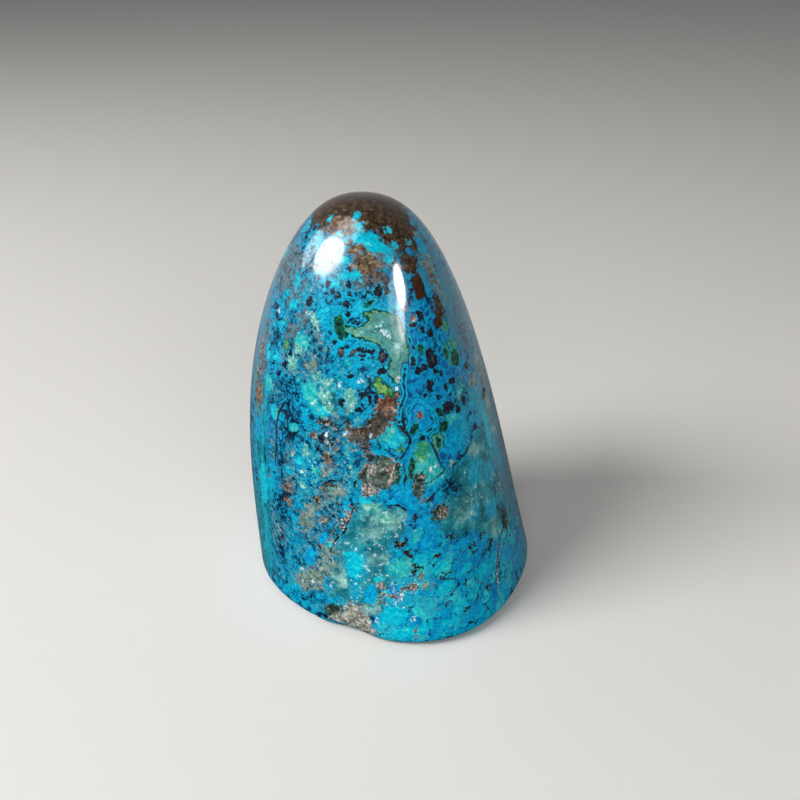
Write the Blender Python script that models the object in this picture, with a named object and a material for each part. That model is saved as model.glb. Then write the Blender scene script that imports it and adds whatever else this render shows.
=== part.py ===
"""Chrysocolla freeform: one polished stone that stands on its ground base.

The stone is a leaning, round-topped tower of copper minerals grown together in quartz.
It formed as one piece, so it is one closed solid: a stack of rings around an upright
middle line, closed by the dome at the top and by the flat ground base at the bottom.
The front faces -Y and the stone stands on z = 0, with its box centred on the origin.
"""

import math

import bmesh
import bpy
import numpy as np
from mathutils import Vector

MM = 0.001

# Driving dimensions, in millimetres.
HEIGHT = 85.0
BASE_EDGE_RADIUS = 2.6

# The body, from the top of the dome down: height, half width, and how far the middle
# of that section lies to the right of the middle line.
SECTIONS = (
    (85.0, 0.0, -3.2),
    (79.7, 10.8, -2.8),
    (67.8, 17.5, -2.7),
    (49.0, 23.3, -1.9),
    (27.8, 26.9, 0.1),
    (0.0, 29.9, 4.0),
)

# The plan isn't a true circle: it is a little wider than deep all the way up, and it
# grows less regular towards the foot. Each wave is (lobes, size, direction in degrees).
OVAL = 0.03
FOOT_WAVES = (
    (2, 0.015, -45.0),
    (3, 0.036, 39.0),
    (4, 0.015, 22.5),
)

# How finely the skin is divided.
SEGMENTS = 64
RINGS = 60
EDGE_RINGS = 5
DOME_START = 0.05

# Hollows in the polished face, in millimetres: azimuth in degrees (0 is +X, -90 is the
# front), height, half width, half height, turn of the long axis in degrees, and depth.
HOLLOWS = (
    (-99.0, 48.0, 4.6, 2.2, 48.0, 0.9),    # brown vug at the end of the cleft
    (-78.5, 51.8, 2.6, 1.9, 25.0, 0.7),    # its upper pocket
    (-90.5, 41.0, 4.4, 3.6, 20.0, 1.1),    # druse pocket in the middle of the face
    (-71.0, 41.5, 3.6, 4.6, -20.0, 0.6),   # crystal pocket on its right
    (-110.5, 46.0, 1.8, 1.8, 0.0, 0.8),    # small pit with a white grain
    (3.0, 50.0, 2.6, 1.6, 0.0, 0.5),       # nick on the right flank
    (128.0, 33.0, 4.2, 2.4, -35.0, 0.8),   # vug on the back
    (62.0, 54.0, 3.0, 2.2, 30.0, 0.6),     # small vug on the back
)

# The rough chip along the foot, front left, where the polish ends on broken quartz.
CHIP_AZIMUTH = -109.0
CHIP_HALF_WIDTH = 7.0
CHIP_HEIGHT = 5.0
CHIP_DEPTH = 0.8


def section_curves():
    """Return the half width and the shift as polynomials through the sections."""
    table = np.array(SECTIONS)
    fall = np.sqrt(1.0 - table[:, 0] / HEIGHT)
    degree = len(SECTIONS) - 1
    return np.polyfit(fall, table[:, 1], degree), np.polyfit(fall, table[:, 2], degree)


def plan_factor(azimuth, fall):
    """Return the plan's radius over the half width, at a fall of 0 (top) to 1 (foot)."""
    factor = 1.0 + OVAL * math.cos(2.0 * azimuth)
    for lobes, size, direction in FOOT_WAVES:
        factor += fall * size * math.cos(lobes * (azimuth - math.radians(direction)))
    return factor


def edge_inset(height):
    """Return how far the rounded bottom edge draws the skin in at a height."""
    drop = max(0.0, BASE_EDGE_RADIUS - height) / BASE_EDGE_RADIUS
    return BASE_EDGE_RADIUS * (1.0 - math.sqrt(1.0 - drop * drop))


def body_point(azimuth, height, curves):
    """Return the point of the smooth body at an azimuth (radians) and a height (mm)."""
    half_width, shift = curves
    fall = math.sqrt(max(0.0, 1.0 - height / HEIGHT))
    radius = (np.polyval(half_width, fall) - edge_inset(height)) * plan_factor(azimuth, fall)
    middle = np.polyval(shift, fall)
    return Vector((middle + radius * math.cos(azimuth), radius * math.sin(azimuth), height))


def smooth_fade(distance):
    """Return 1 at a distance of 0, falling smoothly to 0 at a distance of 1."""
    if distance >= 1.0:
        return 0.0
    return (1.0 - distance * distance) ** 2


class Hollow:
    """A dish in the skin, laid on the smooth body at an azimuth and a height."""

    def __init__(self, azimuth, height, half_width, half_height, turn, depth, curves):
        angle = math.radians(azimuth)
        self.centre = body_point(angle, height, curves)
        self.half_width = half_width
        self.half_height = half_height
        self.depth = depth
        around = Vector((-math.sin(angle), math.cos(angle), 0.0))
        up = (body_point(angle, height + 0.5, curves) - self.centre).normalized()
        lean = math.radians(turn)
        self.across = around * math.cos(lean) + up * math.sin(lean)
        self.along = up * math.cos(lean) - around * math.sin(lean)

    def depth_at(self, point):
        """Return how deep the dish is under a point of the smooth body, in mm."""
        offset = point - self.centre
        if offset.length > 2.0 * max(self.half_width, self.half_height):
            return 0.0
        wide = offset.dot(self.across) / self.half_width
        high = offset.dot(self.along) / self.half_height
        return self.depth * smooth_fade(math.hypot(wide, high))


def chip_depth(azimuth, point):
    """Return how deep the chip along the foot is at a point of the smooth body, in mm."""
    angle = math.remainder(azimuth - math.radians(CHIP_AZIMUTH), 2.0 * math.pi)
    run = angle * math.hypot(point.x, point.y)
    along = smooth_fade(abs(run) / CHIP_HALF_WIDTH)
    return CHIP_DEPTH * along * smooth_fade(point.z / CHIP_HEIGHT)


def ring_heights():
    """Return the heights of the rings, from the foot's flat face to below the dome's top."""
    heights = []
    for step in range(EDGE_RINGS):
        angle = 0.5 * math.pi * step / EDGE_RINGS
        heights.append(BASE_EDGE_RADIUS * (1.0 - math.cos(angle)))
    lowest = math.sqrt(1.0 - BASE_EDGE_RADIUS / HEIGHT)
    for fall in np.linspace(lowest, DOME_START, RINGS):
        heights.append(HEIGHT * (1.0 - fall * fall))
    return heights


def skin_point(azimuth, height, curves, hollows):
    """Return a point of the finished skin: the smooth body less its hollows and chip."""
    point = body_point(azimuth, height, curves)
    depth = chip_depth(azimuth, point) + sum(hollow.depth_at(point) for hollow in hollows)
    inward = Vector((-math.cos(azimuth), -math.sin(azimuth), 0.0))
    return point + inward * depth


def centred(rings):
    """Return the rings with the middle of their plan on the origin."""
    points = [point for ring in rings for point in ring]
    middle_x = 0.5 * (min(p.x for p in points) + max(p.x for p in points))
    middle_y = 0.5 * (min(p.y for p in points) + max(p.y for p in points))
    middle = Vector((middle_x, middle_y, 0.0))
    return [[point - middle for point in ring] for ring in rings], middle


def stone_mesh():
    """Build the closed skin of the stone, in metres."""
    curves = section_curves()
    hollows = [Hollow(*sizes, curves) for sizes in HOLLOWS]
    azimuths = [2.0 * math.pi * step / SEGMENTS for step in range(SEGMENTS)]
    rings = [[skin_point(a, h, curves, hollows) for a in azimuths] for h in ring_heights()]
    rings, middle = centred(rings)
    top = body_point(0.0, HEIGHT, curves) - middle

    bm = bmesh.new()
    loops = [[bm.verts.new(point * MM) for point in ring] for ring in rings]
    crown = bm.verts.new(top * MM)
    base = bm.faces.new(list(reversed(loops[0])))
    for lower, upper in zip(loops, loops[1:]):
        for i in range(SEGMENTS):
            j = (i + 1) % SEGMENTS
            bm.faces.new((lower[i], lower[j], upper[j], upper[i]))
    last = loops[-1]
    for i in range(SEGMENTS):
        bm.faces.new((last[i], last[(i + 1) % SEGMENTS], crown))
    for face in bm.faces:
        face.smooth = face is not base

    mesh = bpy.data.meshes.new("stone")
    bm.to_mesh(mesh)
    bm.free()
    return mesh


def polished_chrysocolla():
    """Return the stone's plain material: polished blue-green chrysocolla."""
    material = bpy.data.materials.new("polished_chrysocolla")
    material.use_nodes = True
    shader = material.node_tree.nodes["Principled BSDF"]
    shader.inputs["Base Color"].default_value = (0.012, 0.245, 0.365, 1.0)
    shader.inputs["Roughness"].default_value = 0.18
    shader.inputs["Metallic"].default_value = 0.0
    return material


def main():
    """Clear the scene and build the stone."""
    for item in list(bpy.data.objects):
        bpy.data.objects.remove(item, do_unlink=True)
    stone = bpy.data.objects.new("stone", stone_mesh())
    stone.data.materials.append(polished_chrysocolla())
    bpy.context.scene.collection.objects.link(stone)


main()
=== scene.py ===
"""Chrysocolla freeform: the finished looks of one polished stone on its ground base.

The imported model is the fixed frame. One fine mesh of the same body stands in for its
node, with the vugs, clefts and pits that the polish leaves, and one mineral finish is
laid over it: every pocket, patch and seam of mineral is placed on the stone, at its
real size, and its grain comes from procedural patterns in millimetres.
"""

import logging
import math
from collections.abc import Mapping, Sequence
from dataclasses import dataclass, field
from enum import Enum
from typing import Optional, Union

import bpy
import numpy as np
from mathutils import Matrix, Vector, noise


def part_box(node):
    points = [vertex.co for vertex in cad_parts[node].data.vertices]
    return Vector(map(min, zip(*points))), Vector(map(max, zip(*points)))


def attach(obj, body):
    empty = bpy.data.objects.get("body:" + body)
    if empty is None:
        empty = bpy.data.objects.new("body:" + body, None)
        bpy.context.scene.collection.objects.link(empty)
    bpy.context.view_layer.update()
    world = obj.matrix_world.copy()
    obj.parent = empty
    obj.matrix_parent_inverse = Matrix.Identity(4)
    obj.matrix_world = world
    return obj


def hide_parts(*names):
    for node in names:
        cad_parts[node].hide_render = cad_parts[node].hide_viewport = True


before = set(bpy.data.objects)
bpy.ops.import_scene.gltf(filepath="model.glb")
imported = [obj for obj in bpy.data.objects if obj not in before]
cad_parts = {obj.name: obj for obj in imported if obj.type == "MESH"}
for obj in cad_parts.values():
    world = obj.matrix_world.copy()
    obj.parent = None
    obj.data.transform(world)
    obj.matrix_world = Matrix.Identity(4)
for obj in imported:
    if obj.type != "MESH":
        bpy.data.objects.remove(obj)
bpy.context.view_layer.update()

log = logging.getLogger("chrysocolla")

MM = 0.001
STONE_NODE = "stone"
STONE_BODY = "root"

Array = np.ndarray
Socket = bpy.types.NodeSocket
Value = Union[Socket, float, Sequence[float]]
Outline = tuple[tuple[float, float], ...]
Stops = Sequence[tuple[Union[float, str], ...]]


# ---------------------------------------------------------------- colours and nodes

# Shader nodes that recur, each with its settings.
PLUS = "Math", {"operation": "ADD"}
LESS = "Math", {"operation": "SUBTRACT"}
TIMES = "Math", {"operation": "MULTIPLY"}
TIMES_PLUS = "Math", {"operation": "MULTIPLY_ADD"}
LARGER = "Math", {"operation": "MAXIMUM"}
SCALED = "VectorMath", {"operation": "SCALE"}
STRETCHED = "VectorMath", {"operation": "MULTIPLY"}
CENTRED = "VectorMath", {"operation": "SUBTRACT"}
MOVED = "VectorMath", {"operation": "MULTIPLY_ADD"}
SHARE = "MapRange", {}
RISE = "MapRange", {"interpolation_type": "SMOOTHSTEP"}
# A layer takes its cover at 0, the colour below at 6 and its own colour at 7.
LAYER = "Mix", {"data_type": "RGBA"}
LAYER_COLOUR = 2


def linear(code: str) -> tuple[float, float, float, float]:
    """Turn an sRGB hex colour into linear light.

    Args:
        code: six hex digits, such as "12A3CC".

    Returns:
        Linear red, green and blue, and an alpha of 1.
    """
    parts = [int(code[i : i + 2], 16) / 255.0 for i in (0, 2, 4)]
    light = [p / 12.92 if p <= 0.04045 else ((p + 0.055) / 1.055) ** 2.4 for p in parts]
    return (*light, 1.0)


def add(
    tree: bpy.types.NodeTree,
    kind: str,
    settings: Mapping[str, object],
    inputs: Union[Mapping[Union[int, str], Value], Sequence[Value]],
    output: Union[int, str, None] = 0,
) -> Optional[Socket]:
    """Add a node, set it up, fill or link its inputs and return one of its outputs.

    Args:
        tree: the node tree that the node goes into.
        kind: the node's type without its "ShaderNode" prefix.
        settings: attributes of the node; "stops" fills a colour ramp.
        inputs: values or sockets in order, or by the input's name or number.
        output: the name or number of the output wanted.

    Returns:
        The chosen output socket.
    """
    made = tree.nodes.new("ShaderNode" + kind)
    for name, value in settings.items():
        if name != "stops":
            setattr(made, name, value)
            continue
        ramp = made.color_ramp.elements
        while len(ramp) < len(value):
            ramp.new(1.0)
        for element, (place, code, *part) in zip(ramp, value):
            element.position = place
            element.color = (*linear(code)[:3], *(part or (1.0,)))
    rows = inputs.items() if isinstance(inputs, Mapping) else enumerate(inputs)
    for name, value in rows:
        if isinstance(value, bpy.types.NodeSocket):
            tree.links.new(value, made.inputs[name])
        else:
            made.inputs[name].default_value = value
    return made.outputs[output] if output is not None else None


# ---------------------------------------------------------------- minerals on the stone


class Mineral(Enum):
    """What the stone is made of, named by how each mineral grew and took the polish."""

    NETWORK = "network"
    PLAIN = "plain"
    AZURE = "azure"
    BRECCIA = "breccia"
    RUBBLE = "rubble"
    CHALCEDONY = "chalcedony"
    TURQUOISE = "turquoise"
    GLAZE = "glaze"
    STREAKS = "streaks"
    FROTH = "froth"
    HAZE = "haze"
    MILK = "milk"
    DUST = "dust"
    LIMONITE = "limonite"
    OLIVE = "olive"
    OCHRE = "ochre"
    CYAN = "cyan"
    TEAL = "teal"
    MINT = "mint"
    AGATE = "agate"
    GREEN = "green"
    MOSS = "moss"
    MALACHITE = "malachite"
    CHANNEL = "channel"
    UMBER = "umber"
    VUG = "vug"
    NAVY = "navy"
    BLUE = "blue"
    DRUSE = "druse"
    CORE = "core"
    PIT = "pit"
    JASPER = "jasper"
    RUST = "rust"
    QUARTZ = "quartz"
    # Glints: pale crystals whose near-white colour is partly a painted highlight.
    GLINT = "glint"
    CLEFT = "cleft"


@dataclass(frozen=True)
class Pocket:
    """An oval of one mineral on the skin.

    Args:
        right: degrees to the right of the front, as seen from above the stone.
        up: height over the base, in millimetres.
        half_width: half its width, in millimetres.
        half_height: half its height, in millimetres.
        turn: how far it is turned anticlockwise, seen from outside, in degrees.
    """

    right: float
    up: float
    half_width: float
    half_height: float
    turn: float = 0.0


@dataclass(frozen=True)
class Patch:
    """A patch of one mineral with an outline of its own.

    Args:
        outline: the places round its edge, as (right in degrees, up in mm).
    """

    outline: Outline


@dataclass(frozen=True)
class Seam:
    """A thread of one mineral along the skin.

    Args:
        half_width: half its width, in millimetres.
        points: the places that it runs through, as (right in degrees, up in mm).
    """

    half_width: float
    points: Outline


# Patches of each mineral, as the places round the edge of each.
PATCHES: dict[Mineral, tuple[Outline, ...]] = {
    Mineral.CHALCEDONY: (
        (
            (-27, 9), (-25, 14), (-18, 22), (-8, 24), (1, 20.5), (6, 17), (3, 12.5), (-3, 9.5),
            (-8, 8.5), (-14, 8),
        ),
        (
            (-7, 33), (-1, 33), (3.5, 32), (8.5, 32), (12, 31), (11, 27), (6, 24), (1, 20.5),
            (-5.5, 16.5), (-16, 10.5), (-24, 9), (-26, 13), (-22.5, 18), (-18, 23), (-12, 28),
        ),
        (
            (33, 37.5), (41, 37), (47.5, 38), (60, 41), (81, 43), (96, 35), (94, 27), (84, 20),
            (71, 14), (54, 12), (48, 17), (38, 21), (30, 24), (25, 27), (29.5, 31.5), (34, 32),
        ),
    ),
    Mineral.RUBBLE: (
        (
            (-42, 20), (-37, 28), (-30, 33), (-22, 35), (-15, 34), (-16, 28), (-20, 22), (-26, 13),
            (-31, 9), (-38, 12),
        ),
        ((-26, 45), (-16, 49.5), (-10, 49), (-9, 46), (-11, 42), (-10, 37), (-17, 36), (-24, 40)),
        ((-45, 60), (-36, 66), (-26, 66), (-20, 60), (-24, 55), (-36, 55)),
    ),
    Mineral.OLIVE: (
        ((-40, 23.5), (-36, 27), (-30, 30), (-25.5, 31), (-26.5, 29), (-32, 25), (-38, 22.5)),
        ((-47, 9), (-41, 12.5), (-34, 14.5), (-28.5, 14), (-30, 11), (-37, 8), (-42, 7)),
        ((-29, 21.5), (-22.5, 23.5), (-20.5, 21), (-24, 15.5), (-28, 12.5), (-30, 15)),
        ((-24, 34), (-18.5, 35.5), (-14.5, 36), (-12, 34), (-13.5, 33), (-18.5, 32), (-22, 32.5)),
    ),
    Mineral.CYAN: (
        ((-15.5, 20.5), (-11, 22), (-8.5, 20.2), (-10, 17), (-13, 14.6), (-16.5, 15.6)),
        (
            (4, 46.5), (8, 48.5), (12.5, 49), (16, 48), (18, 45.5), (15.5, 44.5), (12, 43.5),
            (7, 43.5),
        ),
    ),
    Mineral.TEAL: (
        ((-35, 53.5), (-29, 54.5), (-24, 53.5), (-23.5, 51), (-21, 48.6), (-25, 49), (-31, 51)),
        (
            (25, 45.2), (27.6, 42.8), (30, 39.8), (32.4, 36.6), (29, 34.8), (24, 34.4),
            (18.6, 36.4), (18, 40.5), (20.6, 43.4),
        ),
    ),
    Mineral.MINT: (
        ((-12, 54.5), (-6, 54.5), (-4, 53), (-5, 50.5), (-7.5, 50), (-10, 52)),
    ),
    Mineral.AGATE: (
        (
            (-168, 72), (-160, 73), (-152, 71), (-148, 67), (-152, 63), (-157, 65), (-160, 68),
            (-167, 69),
        ),
        ((112, 50), (118, 51), (121, 47), (118, 43), (114, 44)),
        (
            (-10, 65.2), (-9.5, 64.4), (-2, 63.8), (5.5, 63), (12, 61.6), (14.5, 59.8), (12, 57.8),
            (14, 56.3), (18.5, 55.3), (23, 58.5), (25.5, 60.5), (25, 63), (23, 66.8), (14.5, 68.2),
            (6.5, 68.6), (0.5, 68.2), (3.2, 66.9), (-2.5, 65.5), (-9.5, 65.8),
        ),
        ((29.5, 44.5), (33.5, 45), (35.5, 43.5), (33, 42), (30.5, 41.5), (29, 43)),
    ),
    Mineral.GREEN: (
        ((11.5, 44.3), (16, 44.8), (16.5, 42.8), (12.5, 42)),
        ((20.5, 42.8), (25, 44.4), (27, 42.4), (24, 40.6), (20, 41)),
    ),
    Mineral.MOSS: (
        ((4, 55.5), (5.5, 57), (8, 56.5), (12.5, 55), (16.5, 54), (15, 53), (10, 53.5), (6.5, 54)),
    ),
    Mineral.MALACHITE: (
        (
            (-17, 67), (-13, 67.4), (-11, 66.4), (-11.5, 65.2), (-9.5, 64), (-12, 63.4),
            (-15, 64.2), (-16.5, 65.4),
        ),
    ),
    Mineral.UMBER: (
        (
            (-12.5, 48), (-7, 47.5), (-2, 48), (3, 50), (7, 52), (11, 53), (16, 53.5), (16.5, 52),
            (14.5, 50.2), (12, 48.6), (9, 47), (5.5, 45.6), (1, 45), (-1, 43), (-3, 43.6),
            (-3.5, 45.2), (-8, 45), (-12, 46),
        ),
    ),
    Mineral.VUG: (
        (
            (-5, 38.5), (-2, 40.5), (2, 42), (6.5, 42.4), (9.5, 41), (10.5, 39), (9.5, 36.5),
            (5.5, 35.5), (1.5, 36), (-4, 36), (-6, 37),
        ),
        ((18, 38), (22, 38.5), (23, 36.5), (21, 34), (18, 33), (16, 34.5)),
        ((-33, 5), (-27, 6.6), (-23, 6.8), (-22.5, 5.8), (-25.5, 2.6), (-29.5, 2.2)),
    ),
    Mineral.NAVY: (
        (
            (-51.5, 52.5), (-43.5, 54.5), (-35.5, 53.5), (-36, 51), (-37, 48.5), (-33.5, 46),
            (-34, 42.5), (-41, 41), (-47.5, 43), (-48.5, 46.5), (-46, 49.5), (-50.5, 51),
        ),
        ((30.5, 35.5), (35.5, 36), (39, 33), (37, 31.5), (32.5, 31.5), (30, 33)),
    ),
    Mineral.BLUE: (
        ((-39.5, 16), (-35.5, 19), (-31.5, 19.2), (-32.5, 16), (-37, 13.6), (-39.5, 14.2)),
        ((-10.5, 12.6), (-7.5, 14.2), (-4.5, 14), (-4.5, 11.6), (-7.5, 9.6), (-11, 9.6)),
        ((21, 33.8), (24.5, 35.4), (30, 36.2), (31, 35.4), (25.5, 34), (22, 33)),
    ),
    Mineral.DRUSE: (
        ((-2.5, 43), (0, 43.5), (1.5, 42), (1.5, 39.5), (-0.5, 38.5), (-3, 39.5)),
        ((-4.5, 36), (-1, 36.6), (2.5, 36), (2, 34.6), (-3.5, 34.4)),
    ),
    Mineral.JASPER: (
        ((36.5, 72.6), (43.5, 73.2), (46, 71), (45, 69.2), (37.5, 69)),
        ((45, 65), (51, 65.2), (51.5, 63.5), (45, 63.2)),
    ),
    Mineral.RUST: (
        (
            (3.5, 51.4), (8, 52.6), (11, 53.4), (16, 53.4), (15.5, 52), (12, 50.6), (8.5, 50.4),
            (5, 50.6),
        ),
    ),
    Mineral.QUARTZ: (
        (
            (-29.5, 2.6), (-24, 5.4), (-18.5, 8.8), (-14, 9), (-11, 7.4), (-8.5, 4.4), (-7.5, 2.4),
            (-15, 1), (-22.5, 1.6),
        ),
    ),
}

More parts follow.
